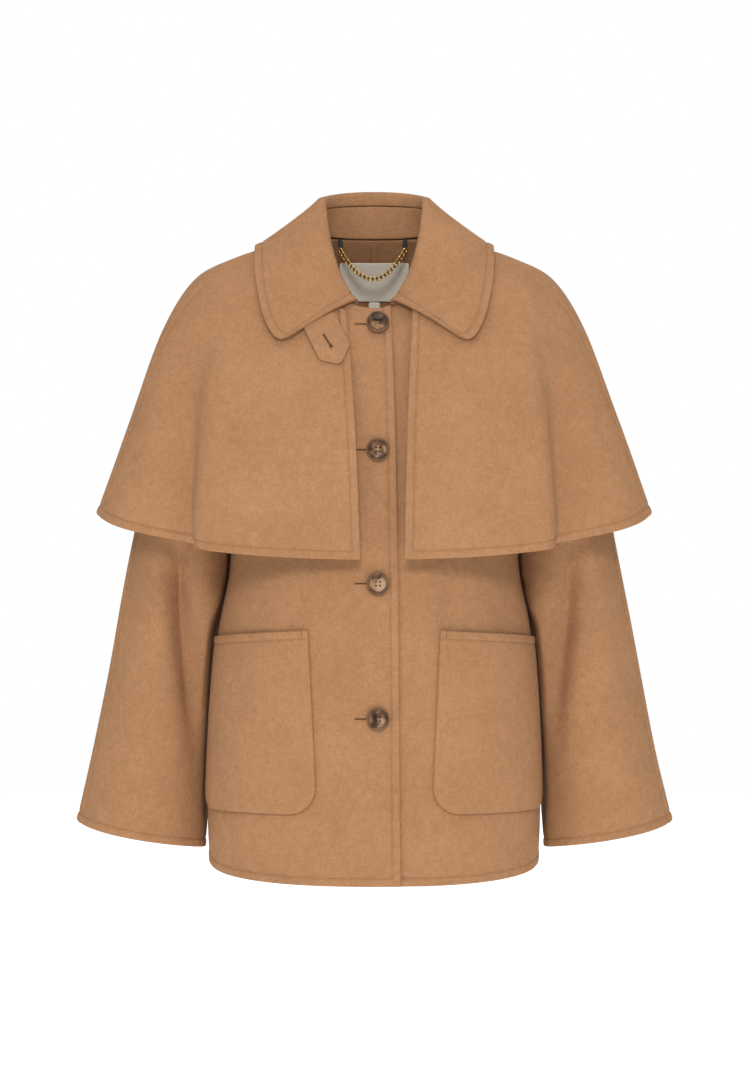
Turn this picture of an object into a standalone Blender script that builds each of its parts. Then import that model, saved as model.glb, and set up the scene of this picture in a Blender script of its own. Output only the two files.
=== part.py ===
"""Short caped wool coat, filled out with no wearer."""
import math
from collections import namedtuple

import bmesh
import bpy
from mathutils import Vector

# Metres, +Z up. The origin is the middle of the neck; the front faces -Y and +X is the wearer's left.
CLOTH = 0.0028  # one layer of double-faced wool
COLLAR_CLOTH = 0.003
SEAM = 0.0004  # gap between pieces at a seam
SQUARE = 2.3  # squareness of the body and cape sections, 2 being an ellipse
QUARTER = math.pi / 2
SEARCH_STEPS = 14  # of a search for a point on a surface
LARGEST_STEP = 0.6  # of such a search, along a table's rows
NUDGE = 0.01  # step for slopes of a surface

Ring = namedtuple("Ring", "width front back z_side z_front z_back bend")

# Body sections from the neck seam over the shoulder tip (row 3) and underarm (row 6) to the hem
BODY = (
    Ring(0.068, 0.060, 0.058, 0.018, -0.066, 0.015, 1.3),
    Ring(0.110, 0.078, 0.075, 0.000, -0.090, -0.005, 1.3),
    Ring(0.150, 0.093, 0.092, -0.016, -0.116, -0.030, 1.3),
    Ring(0.178, 0.104, 0.104, -0.035, -0.145, -0.060, 1.3),
    Ring(0.184, 0.111, 0.110, -0.080, -0.175, -0.100, 1.3),
    Ring(0.174, 0.116, 0.111, -0.165, -0.215, -0.170, 1.3),
    Ring(0.163, 0.119, 0.108, -0.250, -0.265, -0.245, 1.3),
    Ring(0.158, 0.121, 0.106, -0.340, -0.340, -0.340, 1.3),
    Ring(0.173, 0.124, 0.108, -0.430, -0.430, -0.430, 1.3),
    Ring(0.183, 0.128, 0.115, -0.590, -0.590, -0.590, 1.0),
    Ring(0.181, 0.130, 0.118, -0.664, -0.691, -0.690, 0.6),
)
BODY_PLACES = (
    0, 0.5, 1, 2, 3, 3.06, 3.25, 3.6, 4.1, 4.5, 4.9, 5.4, 5.75, 5.94,
    6, 6.5, 7, 7.5, 8, 8.5, 9, 9.6, 10,
)
BODY_COLUMNS = 9
UNDERARM = 6
HEM = len(BODY) - 1
FRONT_EDGE_TOP = 0.018  # the overlapping front's edge, right of the middle
FRONT_EDGE_HEM = 0.0286
UNDERLAP = -0.022
RECESS_FULL = 0.034  # the under front lies below the overlap up to here
RECESS_END = 0.060

# Armhole: an ellipse on the body, in rows of the table and in turn round the body
ARMHOLE_MIDDLE = 4.5
ARMHOLE_HALF = 1.5
ARMHOLE_TURN = math.radians(38)
ARMHOLE_FIT = 0.965  # the sleeve head's size in the armhole

SleeveRow = namedtuple("SleeveRow", "z outer inner middle depth drop")
SLEEVE = (
    SleeveRow(-0.300, 0.262, 0.150, 0.025, 0.076, 0.000),
    SleeveRow(-0.372, 0.276, 0.154, 0.027, 0.075, 0.000),
    SleeveRow(-0.4675, 0.293, 0.164, 0.029, 0.074, 0.000),
    SleeveRow(-0.561, 0.312, 0.178, 0.030, 0.073, 0.005),
    SleeveRow(-0.627, 0.328, 0.187, 0.030, 0.072, 0.030),
)
SLEEVE_PLACES = (0, 0.2, 0.45, 0.7, 1, 1.5, 2, 2.5, 3, 3.5, 4, 4.5, 5)
SLEEVE_COLUMNS = 10
SLEEVE_HALF_WIDTH = 0.06
CUFF_CURVE = 0.6  # how soon the cuff drops towards its inner side
HEAD_BULGE = 0.016
HEAD_RISE = 0.6  # of the bulge
HEAD_CLEAR = 0.1  # share of the head that stays in the armhole
SLEEVE_GAP = 0.0045  # between sleeve and body
POCKET_GAP = 0.0078  # and beside a pocket
POCKET_BLEND = 0.03

# Shoulder cape sections from the collar seam over the shoulder to the hem
CAPE = (
    Ring(0.070, 0.064, 0.0615, 0.022, -0.063, 0.018, 1.3),
    Ring(0.112, 0.083, 0.079, 0.006, -0.088, -0.002, 1.3),
    Ring(0.155, 0.100, 0.098, -0.009, -0.115, -0.028, 1.3),
    Ring(0.197, 0.115, 0.114, -0.032, -0.150, -0.056, 1.3),
    Ring(0.2335, 0.128, 0.126, -0.088, -0.195, -0.110, 1.3),
    Ring(0.2676, 0.140, 0.138, -0.180, -0.260, -0.200, 1.3),
    Ring(0.305, 0.150, 0.150, -0.288, -0.340, -0.335, 1.3),
)
CAPE_PLACES = (0.5, 1, 1.75, 2.5, 3, 3.5, 4, 4.5, 5, 5.5, 6)
CAPE_COLUMNS = 16
CAPE_HEM = len(CAPE) - 1
CAPE_EDGE_RIGHT = (-0.031, -0.0145)  # wearer's right front edge, top and hem
CAPE_EDGE_LEFT = (0.0415, 0.032)

# Folds of the cape on each side: where the ridge runs, and how far it stands out and dips
FOLD_DIP_AT = 1.9  # spreads from the ridge
FOLD_GROWTH = 1.3
Fold = namedtuple("Fold", "ridge_top ridge_hem spread rise dip outside start")
CAPE_FOLDS = (
    Fold(math.radians(58), math.radians(36), math.radians(6), 0.010, 0.023, 1, 2.4),
    Fold(math.radians(118), math.radians(140), math.radians(9), 0.010, 0.014, -1, 2.6),
)

# Collar: rings round the neck, and stations from the front end to the middle of the back
STAND_FOOT = Ring(0.0627, 0.0543, 0.0527, 0.0188, -0.0669, 0.0157, 1.3)
STAND_TOP = Ring(0.0530, 0.0543, 0.0505, 0.044, -0.0663, 0.051, 1.3)
ROLL = Ring(0.0575, 0.0593, 0.0555, 0.054, -0.0651, 0.064, 1.3)
ROLL_RADIUS = 0.005
ROLL_ANGLES = (180, 135, 95, 55)  # degrees round the roll, from the stand to the fall
COLLAR_LIFT = 0.0078  # top of the fall above the cape
FrontStation = namedtuple("FrontStation", "neck x z drop")
BackStation = namedtuple("BackStation", "neck turn place drop")
COLLAR_FRONT = (
    FrontStation(16, 0.103, -0.109, 6.0),
    FrontStation(30, 0.1165, -0.088, 4.0),
    FrontStation(48, 0.126, -0.055, 2.4),
    FrontStation(66, 0.1305, -0.025, 1.6),
)
COLLAR_BACK = (
    BackStation(88, 90, 1.42, 1.3),
    BackStation(115, 118, 1.50, 1.3),
    BackStation(147, 149, 1.62, 1.3),
    BackStation(180, 180, 1.65, 1.3),
)
COLLAR_COLUMNS = (0, 0.15, 0.35, 0.6, 1, 1.5, 2, 2.5, 3, 3.5, 4, 4.5, 5, 5.5, 6, 6.5, 7)
FALL_STEPS = (0.12, 0.3, 0.5, 0.7, 0.87, 1)
COLLAR_CORNER = 0.014
COLLAR_COLUMN_WIDTH = 0.025
STRAIGHT_COLUMNS = 1.5  # from the front end
STRAIGHT_BLEND = 2
COLLAR_GUESS = (1.5, math.radians(55))  # place and turn where a search starts
COLLAR_FALL_LENGTH = 0.095

# Throat tab under the wearer's right collar end, in front view
TAB_START = Vector((-0.0585, -0.0850))
TAB_AXIS = Vector((0.436, -0.900))
TAB_ACROSS = Vector((0.900, 0.436))
TabRow = namedtuple("TabRow", "along half")
TAB = (
    TabRow(-0.005, 0.0190),
    TabRow(0.010, 0.0190),
    TabRow(0.024, 0.0190),
    TabRow(0.0360, 0.0186),
    TabRow(0.0435, 0.0105),
    TabRow(0.0500, 0.0020),
)
TAB_COLUMNS = 6
TAB_CLOTH = 0.0026
TAB_GUESS = (1.5, math.radians(-30))

# Patch pockets on the fronts
POCKET_TOP_INNER = -0.416
POCKET_TOP_OUTER = -0.425
POCKET_BOTTOM = -0.614
POCKET_INNER_TOP = 0.0705
POCKET_INNER_BOTTOM = 0.0610
POCKET_OUTER_TURN = math.radians(84)
POCKET_CORNER = 0.030
POCKET_PUFF = 0.003
POCKET_FULL = (0.1, 0.85)  # how full the bottom and the top are, in half turns of a sine
POCKET_STEPS = (0, 0.04, 0.09, 0.16, 0.3, 0.45, 0.6, 0.75, 0.9, 1)
POCKET_COLUMNS = 9
POCKET_GUESS = (8.5, math.radians(25))

BUTTON_X = 0.0039
BUTTON_HEIGHTS = (-0.085, -0.222, -0.366, -0.511)
BUTTON_GAP = 0.0016
BUTTON_SIDES = 20
BUTTON_GUESS = (5, 0.02)
# Turned section of a button, from the back over the rim to the dished face
ButtonRing = namedtuple("ButtonRing", "radius height")
BUTTON = (
    ButtonRing(0.0085, 0.0),
    ButtonRing(0.0124, 0.0008),
    ButtonRing(0.0126, 0.0026),
    ButtonRing(0.0118, 0.0036),
    ButtonRing(0.0100, 0.0036),
    ButtonRing(0.0084, 0.0026),
)

LABEL_HALF = 0.0395
LABEL_TOP = -0.0067
LABEL_BOTTOM = -0.0503
LABEL_CLOTH = 0.0008
SIZE_LABEL_HALF = 0.0066
SIZE_LABEL_BOTTOM = -0.0657
LABEL_GAP = 0.002
LABEL_ROWS = 4
LABEL_COLUMNS = 9
SIZE_LABEL_COLUMNS = 3
LABEL_GUESS_PLACE = 1.5
LABEL_GUESS_RADIUS = 0.1

LOOP_X = (-0.0377, 0.0340)
LOOP_HEIGHTS = (0.0152, 0.0098, 0.0044)
LOOP_HALF = 0.0022
LOOP_CLOTH = 0.0012
LOOP_GAP = 0.0008
CHAIN_RADIUS = 0.0021
CHAIN_LOW = -0.0293
CHAIN_POINTS = 20

# Colours are linear: red, green, blue, with roughness and metallic
Finish = namedtuple("Finish", "red green blue roughness metallic")
CAMEL = Finish(0.50, 0.27, 0.125, 0.92, 0.0)
HORN = Finish(0.085, 0.045, 0.025, 0.25, 0.0)
CREAM = Finish(0.74, 0.66, 0.52, 0.75, 0.0)
BRASS = Finish(0.60, 0.38, 0.12, 0.30, 1.0)
BLACK = Finish(0.015, 0.014, 0.013, 0.80, 0.0)


def clear_scene():
    for item in list(bpy.data.objects):
        bpy.data.objects.remove(item, do_unlink=True)


def paint(item, finish):
    """Give an object its own plain material."""
    material = bpy.data.materials.new(item.name)
    material.use_nodes = True
    shader = material.node_tree.nodes["Principled BSDF"]
    shader.inputs["Base Color"].default_value = (finish.red, finish.green, finish.blue, 1)
    shader.inputs["Roughness"].default_value = finish.roughness
    shader.inputs["Metallic"].default_value = finish.metallic
    item.data.materials.append(material)


def add_object(name, data, finish):
    item = bpy.data.objects.new(name, data)
    bpy.context.scene.collection.objects.link(item)
    paint(item, finish)
    return item


def add_mesh(name, shape, finish):
    """Turn a finished bmesh into a named object with its faces out."""
    bmesh.ops.recalc_face_normals(shape, faces=shape.faces)
    data = bpy.data.meshes.new(name)
    shape.to_mesh(data)
    shape.free()
    data.shade_smooth()
    return add_object(name, data, finish)


def mix(first, second, share):
    return first + (second - first) * share


def ease(value):
    value = min(max(value, 0.0), 1.0)
    return value * value * (3 - 2 * value)


def spread(first, last, count):
    return [mix(first, last, index / (count - 1)) for index in range(count)]


def signed_power(value, power):
    return math.copysign(abs(value) ** power, value)


def table_row(table, place):
    """Row at a place between a table's rows, on a smooth curve through them."""
    last = len(table) - 1
    index = min(max(math.floor(place), 0), last - 1)
    t = place - index
    near = [table[min(max(index + step, 0), last)] for step in (-1, 0, 1, 2)]
    weights = (
        -0.5 * t + t * t - 0.5 * t ** 3,
        1.0 - 2.5 * t * t + 1.5 * t ** 3,
        0.5 * t + 2.0 * t * t - 1.5 * t ** 3,
        -0.5 * t * t + 0.5 * t ** 3,
    )
    values = [sum(w * v for w, v in zip(weights, column)) for column in zip(*near)]
    return type(table[0])(*values)


def ring_point(ring, turn):
    """Point of a ring at a turn: 0 is the front, a quarter turn the wearer's left side."""
    side, ahead = math.sin(turn), math.cos(turn)
    depth, level = (ring.front, ring.z_front) if ahead > 0 else (ring.back, ring.z_back)
    x = ring.width * signed_power(side, 2 / SQUARE)
    y = -depth * signed_power(ahead, 2 / SQUARE)
    z = ring.z_side + (level - ring.z_side) * abs(ahead) ** ring.bend
    return Vector((x, y, z))


def body_point(place, turn):
    return ring_point(table_row(BODY, place), turn)


def plain_cape_point(place, turn):
    return ring_point(table_row(CAPE, place), turn)


def cape_point(place, turn):
    """Cape with its folds, which grow from the shoulder to the hem."""
    point = plain_cape_point(place, turn)
    away = Vector((math.sin(turn), -math.cos(turn), 0))
    angle = abs(math.remainder(turn, 2 * math.pi))
    for fold in CAPE_FOLDS:
        grown = max(0.0, (place - fold.start) / (CAPE_HEM - fold.start))
        ridge = mix(fold.ridge_top, fold.ridge_hem, grown)
        offset = (angle - ridge) * fold.outside / fold.spread
        height = fold.rise * math.exp(-offset ** 2) - fold.dip * math.exp(-(offset - FOLD_DIP_AT) ** 2)
        point += away * height * grown ** FOLD_GROWTH
    return point


def outward(surface, place, turn, facing=1):
    """Unit direction out of a surface."""
    along = surface(place + NUDGE, turn) - surface(place - NUDGE, turn)
    around = surface(place, turn + NUDGE) - surface(place, turn - NUDGE)
    return along.cross(around).normalized() * facing


def turn_at(table, place, x):
    """Turn at which a section passes x on its front."""
    share = min(max(x / table_row(table, place).width, -1), 1)
    return math.asin(signed_power(share, SQUARE / 2))


def place_on(surface, x, z, place, turn):
    """Place and turn of the surface's point with this x and z, searched from a first guess."""
    for _ in range(SEARCH_STEPS):
        here = surface(place, turn)
        by_place = (surface(place + NUDGE, turn) - here) / NUDGE
        by_turn = (surface(place, turn + NUDGE) - here) / NUDGE
        det = by_place.x * by_turn.z - by_turn.x * by_place.z
        miss_x, miss_z = x - here.x, z - here.z
        place += min(max((miss_x * by_turn.z - by_turn.x * miss_z) / det, -LARGEST_STEP), LARGEST_STEP)
        turn += (by_place.x * miss_z - miss_x * by_place.z) / det
    return place, turn


def mirrored(rows):
    return [[tuple(Vector((-p.x, p.y, p.z)) for p in pair) for pair in row] for row in rows]


def wall(name, rows, finish=CAMEL):
    """One closed wall from rows of (outer point, inner point)."""
    shape = bmesh.new()
    outer = [[shape.verts.new(pair[0]) for pair in row] for row in rows]
    inner = [[shape.verts.new(pair[1]) for pair in row] for row in rows]
    down, across = len(rows) - 1, len(rows[0]) - 1
    for i in range(down):
        for j in range(across):
            cell = ((i, j), (i, j + 1), (i + 1, j + 1), (i + 1, j))
            shape.faces.new([outer[a][b] for a, b in cell])
            shape.faces.new([inner[a][b] for a, b in reversed(cell)])
    border = [(0, j) for j in range(across)] + [(i, across) for i in range(down)]
    border += [(down, j) for j in range(across, 0, -1)] + [(i, 0) for i in range(down, 0, -1)]
    for (a, b), (c, d) in zip(border, border[1:] + border[:1]):
        shape.faces.new((outer[c][d], outer[a][b], inner[a][b], inner[c][d]))
    return add_mesh(name, shape, finish)


def cloth_pair(surface, place, turn, lift=0.0, thickness=CLOTH, facing=1):
    """Outer and inner point of a cloth that lies on a surface, moved out by lift."""
    out = outward(surface, place, turn, facing)
    point = surface(place, turn) + out * lift
    return point, point - out * thickness


def armhole_turn(place):
    reach = (place - ARMHOLE_MIDDLE) / ARMHOLE_HALF
    return ARMHOLE_TURN * math.sqrt(max(0.0, 1 - reach * reach))


def seam_turn(table, place):
    return SEAM / table_row(table, place).width


def recess(x):
    """How far the under front lies below the overlapping one."""
    return (CLOTH + 2 * SEAM) * ease((RECESS_END - x) / (RECESS_END - RECESS_FULL))


def make_fronts():
    right, left = [], []
    for place in BODY_PLACES:
        end = QUARTER - armhole_turn(place) - seam_turn(BODY, place)
        edge = turn_at(BODY, place, mix(FRONT_EDGE_TOP, FRONT_EDGE_HEM, place / HEM))
        under = turn_at(BODY, place, UNDERLAP)
        right.append([cloth_pair(body_point, place, turn) for turn in spread(edge, -end, BODY_COLUMNS + 2)])
        left.append([
            cloth_pair(body_point, place, turn, -recess(body_point(place, turn).x))
            for turn in spread(under, end, BODY_COLUMNS + 4)
        ])
    wall("front_right", right)
    wall("front_left", left)


def make_backs():
    rows = []
    for place in BODY_PLACES:
        start = QUARTER + armhole_turn(place) + seam_turn(BODY, place)
        end = math.pi - seam_turn(BODY, place)
        rows.append([cloth_pair(body_point, place, turn) for turn in spread(start, end, BODY_COLUMNS + 1)])
    wall("back_left", rows)
    wall("back_right", mirrored(rows))


def clear_of_body(point, z):
    """Move a sleeve point out sideways until it is just clear of the body, and of the pocket on it."""
    below, above = float(HEM), float(UNDERARM)
    for _ in range(SEARCH_STEPS):
        middle = (below + above) / 2
        if table_row(BODY, middle).z_side > z:
            above = middle
        else:
            below = middle
    ring = table_row(BODY, below)
    below_top = ease((POCKET_TOP_INNER + POCKET_BLEND - z) / POCKET_BLEND)
    above_bottom = ease((z - POCKET_BOTTOM + POCKET_BLEND) / POCKET_BLEND)
    on_front = ease((POCKET_BLEND - point.y) / POCKET_BLEND)
    gap = mix(SLEEVE_GAP, POCKET_GAP, below_top * above_bottom * on_front)
    depth = ring.front if point.y < 0 else ring.back
    share = (abs(point.x) / (ring.width + gap)) ** SQUARE + (abs(point.y) / (depth + gap)) ** SQUARE
    if share < 1:
        point = Vector((point.x * share ** (-1 / SQUARE), point.y * share ** (-1 / SQUARE), point.z))
    return point


def sleeve_section(place, turn):
    row = table_row(SLEEVE, place)
    middle, half = (row.outer + row.inner) / 2, (row.outer - row.inner) / 2
    x = middle + half * math.cos(turn)
    y = row.middle - row.depth * math.sin(turn)
    z = row.z - row.drop * ((1 - math.cos(turn)) / 2) ** CUFF_CURVE
    return clear_of_body(Vector((x, y, z)), z)


def sleeve_point(place, turn):
    """Wearer's left sleeve: turn 0 is its outer side, a quarter turn its front. Place 0 is the armhole."""
    if place >= 1:
        return sleeve_section(place - 1, turn)
    hole_place = ARMHOLE_MIDDLE - ARMHOLE_HALF * ARMHOLE_FIT * math.cos(turn)
    hole = body_point(hole_place, QUARTER - ARMHOLE_TURN * ARMHOLE_FIT * math.sin(turn))
    bulge = HEAD_BULGE * max(0.0, math.cos(turn)) * math.sin(math.pi * max(place, 0.0))
    point = mix(hole, sleeve_section(0, turn), place) + Vector((bulge, 0, bulge * HEAD_RISE))
    return point if math.cos(turn) > 0 or place < HEAD_CLEAR else clear_of_body(point, point.z)


def make_sleeves():
    margin = SEAM / SLEEVE_HALF_WIDTH
    for half, first in (("front", 0.0), ("back", math.pi)):
        turns = spread(first + margin, first + math.pi - margin, SLEEVE_COLUMNS + 1)
        rows = [
            [cloth_pair(sleeve_point, place, turn, facing=-1) for turn in turns]
            for place in SLEEVE_PLACES
        ]
        wall("sleeve_left_" + half, rows)
        wall("sleeve_right_" + half, mirrored(rows))


def make_cape():
    right, left, back = [], [], []
    for place in CAPE_PLACES:
        seam = seam_turn(CAPE, place)
        share = (place - CAPE_PLACES[0]) / (CAPE_HEM - CAPE_PLACES[0])
        right_edge = turn_at(CAPE, place, mix(*CAPE_EDGE_RIGHT, share))
        left_edge = turn_at(CAPE, place, mix(*CAPE_EDGE_LEFT, share))
        for rows, first, last, count in (
            (right, right_edge, seam - QUARTER, CAPE_COLUMNS),
            (left, left_edge, QUARTER - seam, CAPE_COLUMNS),
            (back, QUARTER + seam, 3 * QUARTER - seam, 2 * CAPE_COLUMNS - 4),
        ):
            rows.append([cloth_pair(cape_point, place, turn) for turn in spread(first, last, count)])
    wall("cape_front_right", right)
    wall("cape_front_left", left)
    wall("cape_back", back)


def collar_stations():
    """Stations with the outer edge's place and turn on the cape."""
    stations = []
    for row in COLLAR_FRONT:
        place, turn = place_on(plain_cape_point, row.x, row.z, *COLLAR_GUESS)
        stations.append(BackStation(row.neck, math.degrees(turn), place, row.drop))
    return stations + list(COLLAR_BACK)


def away_from_neck(neck):
    return Vector((math.sin(neck), -math.cos(neck), 0))


def roll_point(neck, degrees):
    angle = math.radians(degrees)
    out = away_from_neck(neck) * math.cos(angle) + Vector((0, 0, math.sin(angle)))
    return ring_point(ROLL, neck) + out * ROLL_RADIUS


def fall_base(station, step, straight):
    """Place and turn on the cape under the fall, whose front threads run straight in front view."""
    neck, edge = math.radians(station.neck), math.radians(station.turn)
    place, turn = station.place * step, mix(neck, edge, step)
    if straight <= 0:
        return place, turn
    target = mix(plain_cape_point(0, neck), plain_cape_point(station.place, edge), step)
    found_place, found_turn = place_on(plain_cape_point, target.x, target.z, place, turn)
    return mix(place, found_place, straight), mix(turn, found_turn, straight)


def fall_point(station, column, step):
    """Top of the fall at a step from the roll to the outer edge."""
    neck = math.radians(station.neck)
    start = roll_point(neck, ROLL_ANGLES[-1])
    first = plain_cape_point(0, neck) + outward(plain_cape_point, 0, neck) * COLLAR_LIFT
    place, turn = fall_base(station, step, 1 - ease((column - STRAIGHT_COLUMNS) / STRAIGHT_BLEND))
    out = outward(plain_cape_point, place, turn)
    base = plain_cape_point(place, turn) + out * COLLAR_LIFT
    return base + (start - first) * (1 - step) ** station.drop


def collar_section(stations, column):
    """Visible points of the fall across one station, from the stand's seam over the roll to the edge."""
    station = table_row(stations, column)
    neck = math.radians(station.neck)
    points = [ring_point(STAND_TOP, neck) + Vector((0, 0, 2 * SEAM))]
    points += [roll_point(neck, degrees) for degrees in ROLL_ANGLES]
    from_end = min(column * COLLAR_COLUMN_WIDTH, COLLAR_CORNER)
    inset = COLLAR_CORNER - math.sqrt(COLLAR_CORNER ** 2 - (COLLAR_CORNER - from_end) ** 2)
    reach = 1 - inset / COLLAR_FALL_LENGTH
    points += [fall_point(station, column, step * reach) for step in FALL_STEPS]
    return points


def collar_pairs(columns, necks, level_rows):
    """Thicken a grid of visible points away from the side that shows; level rows are cut flat."""
    rows = []
    for i, column in enumerate(columns):
        before, after = columns[max(i - 1, 0)], columns[min(i + 1, len(columns) - 1)]
        row = []
        for j, point in enumerate(column):
            along = column[min(j + 1, len(column) - 1)] - column[max(j - 1, 0)]
            under = (after[j] - before[j]).cross(along).normalized()
            if j < level_rows:
                under = away_from_neck(necks[i])
            row.append((point, point + under * COLLAR_CLOTH))
        rows.append(row)
    return rows


def make_collar():
    stations = collar_stations()
    half = [collar_section(stations, column) for column in COLLAR_COLUMNS]
    other = [[Vector((-p.x, p.y, p.z)) for p in column] for column in reversed(half[:-1])]
    necks = [math.radians(table_row(stations, column).neck) for column in COLLAR_COLUMNS]
    necks += [2 * math.pi - neck for neck in reversed(necks[:-1])]
    wall("collar_fall", collar_pairs(half + other, necks, 2))
    stand = [[ring_point(STAND_FOOT, neck), ring_point(STAND_TOP, neck)] for neck in necks]
    wall("collar_stand", collar_pairs(stand, necks, 2))


def make_tab():
    rows = []
    for row in TAB:
        pairs = []
        for share in spread(-1, 1, TAB_COLUMNS):
            x, z = TAB_START + TAB_AXIS * row.along + TAB_ACROSS * row.half * share
            place, turn = place_on(plain_cape_point, x, z, *TAB_GUESS)
            pairs.append(cloth_pair(plain_cape_point, place, turn, SEAM + TAB_CLOTH, TAB_CLOTH))
        rows.append(pairs)
    wall("collar_tab", rows)


def make_pockets():
    rows = []
    for step in POCKET_STEPS:
        height = step * (POCKET_TOP_INNER - POCKET_BOTTOM)
        from_corner = max(POCKET_CORNER - height, 0)
        inset = POCKET_CORNER - math.sqrt(POCKET_CORNER ** 2 - from_corner ** 2)
        inner_x = mix(POCKET_INNER_BOTTOM, POCKET_INNER_TOP, step) + inset
        pairs = []
        for share in spread(0, 1, POCKET_COLUMNS):
            z = POCKET_BOTTOM + step * (mix(POCKET_TOP_INNER, POCKET_TOP_OUTER, share) - POCKET_BOTTOM)
            place, first = place_on(body_point, inner_x, z, *POCKET_GUESS)
            last = POCKET_OUTER_TURN - inset / table_row(BODY, place).front
            fullness = math.sin(math.pi * mix(*POCKET_FULL, step))
            thickness = CLOTH + POCKET_PUFF * math.sin(math.pi * share) * fullness
            turn = mix(first, last, share)
            pairs.append(cloth_pair(body_point, place, turn, 2 * SEAM + thickness, thickness))
        rows.append(pairs)
    wall("pocket_left", rows)
    wall("pocket_right", mirrored(rows))


def make_buttons():
    for number, z in enumerate(BUTTON_HEIGHTS, start=1):
        place, turn = place_on(body_point, BUTTON_X, z, *BUTTON_GUESS)
        out = outward(body_point, place, turn)
        centre = body_point(place, turn) + out * BUTTON_GAP
        right = Vector((0, 0, 1)).cross(out).normalized()
        up = out.cross(right)
        shape = bmesh.new()
        rings = []
        for row in BUTTON:
            ring = []
            for index in range(BUTTON_SIDES):
                angle = 2 * math.pi * index / BUTTON_SIDES
                spoke = right * math.cos(angle) + up * math.sin(angle)
                ring.append(shape.verts.new(centre + spoke * row.radius + out * row.height))
            rings.append(ring)
        for lower, upper in zip(rings, rings[1:]):
            for index in range(BUTTON_SIDES):
                after = (index + 1) % BUTTON_SIDES
                shape.faces.new((lower[index], lower[after], upper[after], upper[index]))
        shape.faces.new(rings[0])
        shape.faces.new(rings[-1])
        add_mesh("button_%d" % number, shape, HORN)


def make_label(name, half, top, bottom, columns):
    """A label on the inside of the back."""
    rows = []
    for z in spread(top, bottom, LABEL_ROWS):
        pairs = []
        for x in spread(-half, half, columns):
            guess_turn = math.pi - x / LABEL_GUESS_RADIUS
            place, turn = place_on(body_point, x, z, LABEL_GUESS_PLACE, guess_turn)
            pairs.append(cloth_pair(body_point, place, turn, -CLOTH - LABEL_GAP, LABEL_CLOTH))
        rows.append(pairs)
    wall(name, rows, CREAM)


def loop_y(x):
    """Depth of the inside of the collar stand's foot at x, on the back."""
    turn = math.pi - math.asin((abs(x) / STAND_FOOT.width) ** (SQUARE / 2))
    return ring_point(STAND_FOOT, turn).y


def make_hanger():
    """Two cloth loops at the neck seam with a chain hung between them."""
    for name, x in zip(("hanger_loop_right", "hanger_loop_left"), LOOP_X):
        y = loop_y(abs(x) + LOOP_HALF) - LOOP_GAP
        rows = []
        for z in LOOP_HEIGHTS:
            edges = [Vector((x + side, y, z)) for side in (-LOOP_HALF, LOOP_HALF)]
            rows.append([(edge, edge - Vector((0, LOOP_CLOTH, 0))) for edge in edges])
        wall(name, rows, BLACK)
    middle, half = sum(LOOP_X) / 2, (LOOP_X[1] - LOOP_X[0]) / 2
    end_z = LOOP_HEIGHTS[-1] - CHAIN_RADIUS
    data = bpy.data.curves.new("hanger_chain", "CURVE")
    data.dimensions = "3D"
    data.bevel_depth = CHAIN_RADIUS
    data.bevel_resolution = 2
    data.use_fill_caps = True
    spline = data.splines.new("POLY")
    spline.points.add(CHAIN_POINTS - 1)
    for point, share in zip(spline.points, spread(-1, 1, CHAIN_POINTS)):
        x = middle + half * share
        y = mix(loop_y(LOOP_X[0]), loop_y(LOOP_X[1]), (share + 1) / 2) - LOOP_GAP - LOOP_CLOTH
        z = CHAIN_LOW + (end_z - CHAIN_LOW) * share * share
        point.co = (x, y, z, 1)
    add_object("hanger_chain", data, BRASS)


def main():
    clear_scene()
    make_fronts()
    make_backs()
    make_sleeves()
    make_cape()
    make_collar()
    make_tab()
    make_pockets()
    make_buttons()
    make_label("neck_label", LABEL_HALF, LABEL_TOP, LABEL_BOTTOM, LABEL_COLUMNS)
    make_label("size_label", SIZE_LABEL_HALF, LABEL_BOTTOM - SEAM, SIZE_LABEL_BOTTOM, SIZE_LABEL_COLUMNS)
    make_hanger()


main()
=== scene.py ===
import math

import bmesh
import bpy
import numpy as np
from mathutils import Matrix, Vector


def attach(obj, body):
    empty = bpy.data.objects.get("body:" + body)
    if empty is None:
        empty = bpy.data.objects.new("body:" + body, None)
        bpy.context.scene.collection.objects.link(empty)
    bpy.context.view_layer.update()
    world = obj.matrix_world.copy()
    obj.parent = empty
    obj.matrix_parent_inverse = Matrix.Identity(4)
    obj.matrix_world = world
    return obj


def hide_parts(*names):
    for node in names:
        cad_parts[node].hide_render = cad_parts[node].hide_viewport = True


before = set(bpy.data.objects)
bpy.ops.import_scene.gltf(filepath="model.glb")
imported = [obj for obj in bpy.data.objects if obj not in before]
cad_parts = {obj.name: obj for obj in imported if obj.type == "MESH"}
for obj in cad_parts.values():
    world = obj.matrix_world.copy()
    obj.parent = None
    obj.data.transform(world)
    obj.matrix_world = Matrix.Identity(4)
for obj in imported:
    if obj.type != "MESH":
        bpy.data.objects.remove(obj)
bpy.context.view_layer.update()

quarter = math.pi / 2
print("frame loaded:", len(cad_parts), "nodes")


# Camera at the photo's angle: the origin is the middle of the neck
photo = {
    "size": (748, 1080),
    "metrePerPixel": 0.0011,  # at the coat's middle
    "middleColumn": 374.3, "neckRow": 250, "distance": 5.0, "sensor": 36.0,
}


def makeCamera(look):
    data = bpy.data.cameras.new("camera")
    data.sensor_width = look["sensor"]
    tall = look["size"][1] * look["metrePerPixel"]
    data.lens = look["sensor"] * look["distance"] / tall
    camera = bpy.data.objects.new("camera", data)
    bpy.context.scene.collection.objects.link(camera)
    x = (look["size"][0] / 2 - look["middleColumn"]) * look["metrePerPixel"]
    z = (look["neckRow"] - look["size"][1] / 2) * look["metrePerPixel"]
    camera.location = (x, -look["distance"], z)
    camera.rotation_euler = (quarter, 0, 0)
    bpy.context.scene.camera = camera


makeCamera(photo)


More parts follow.
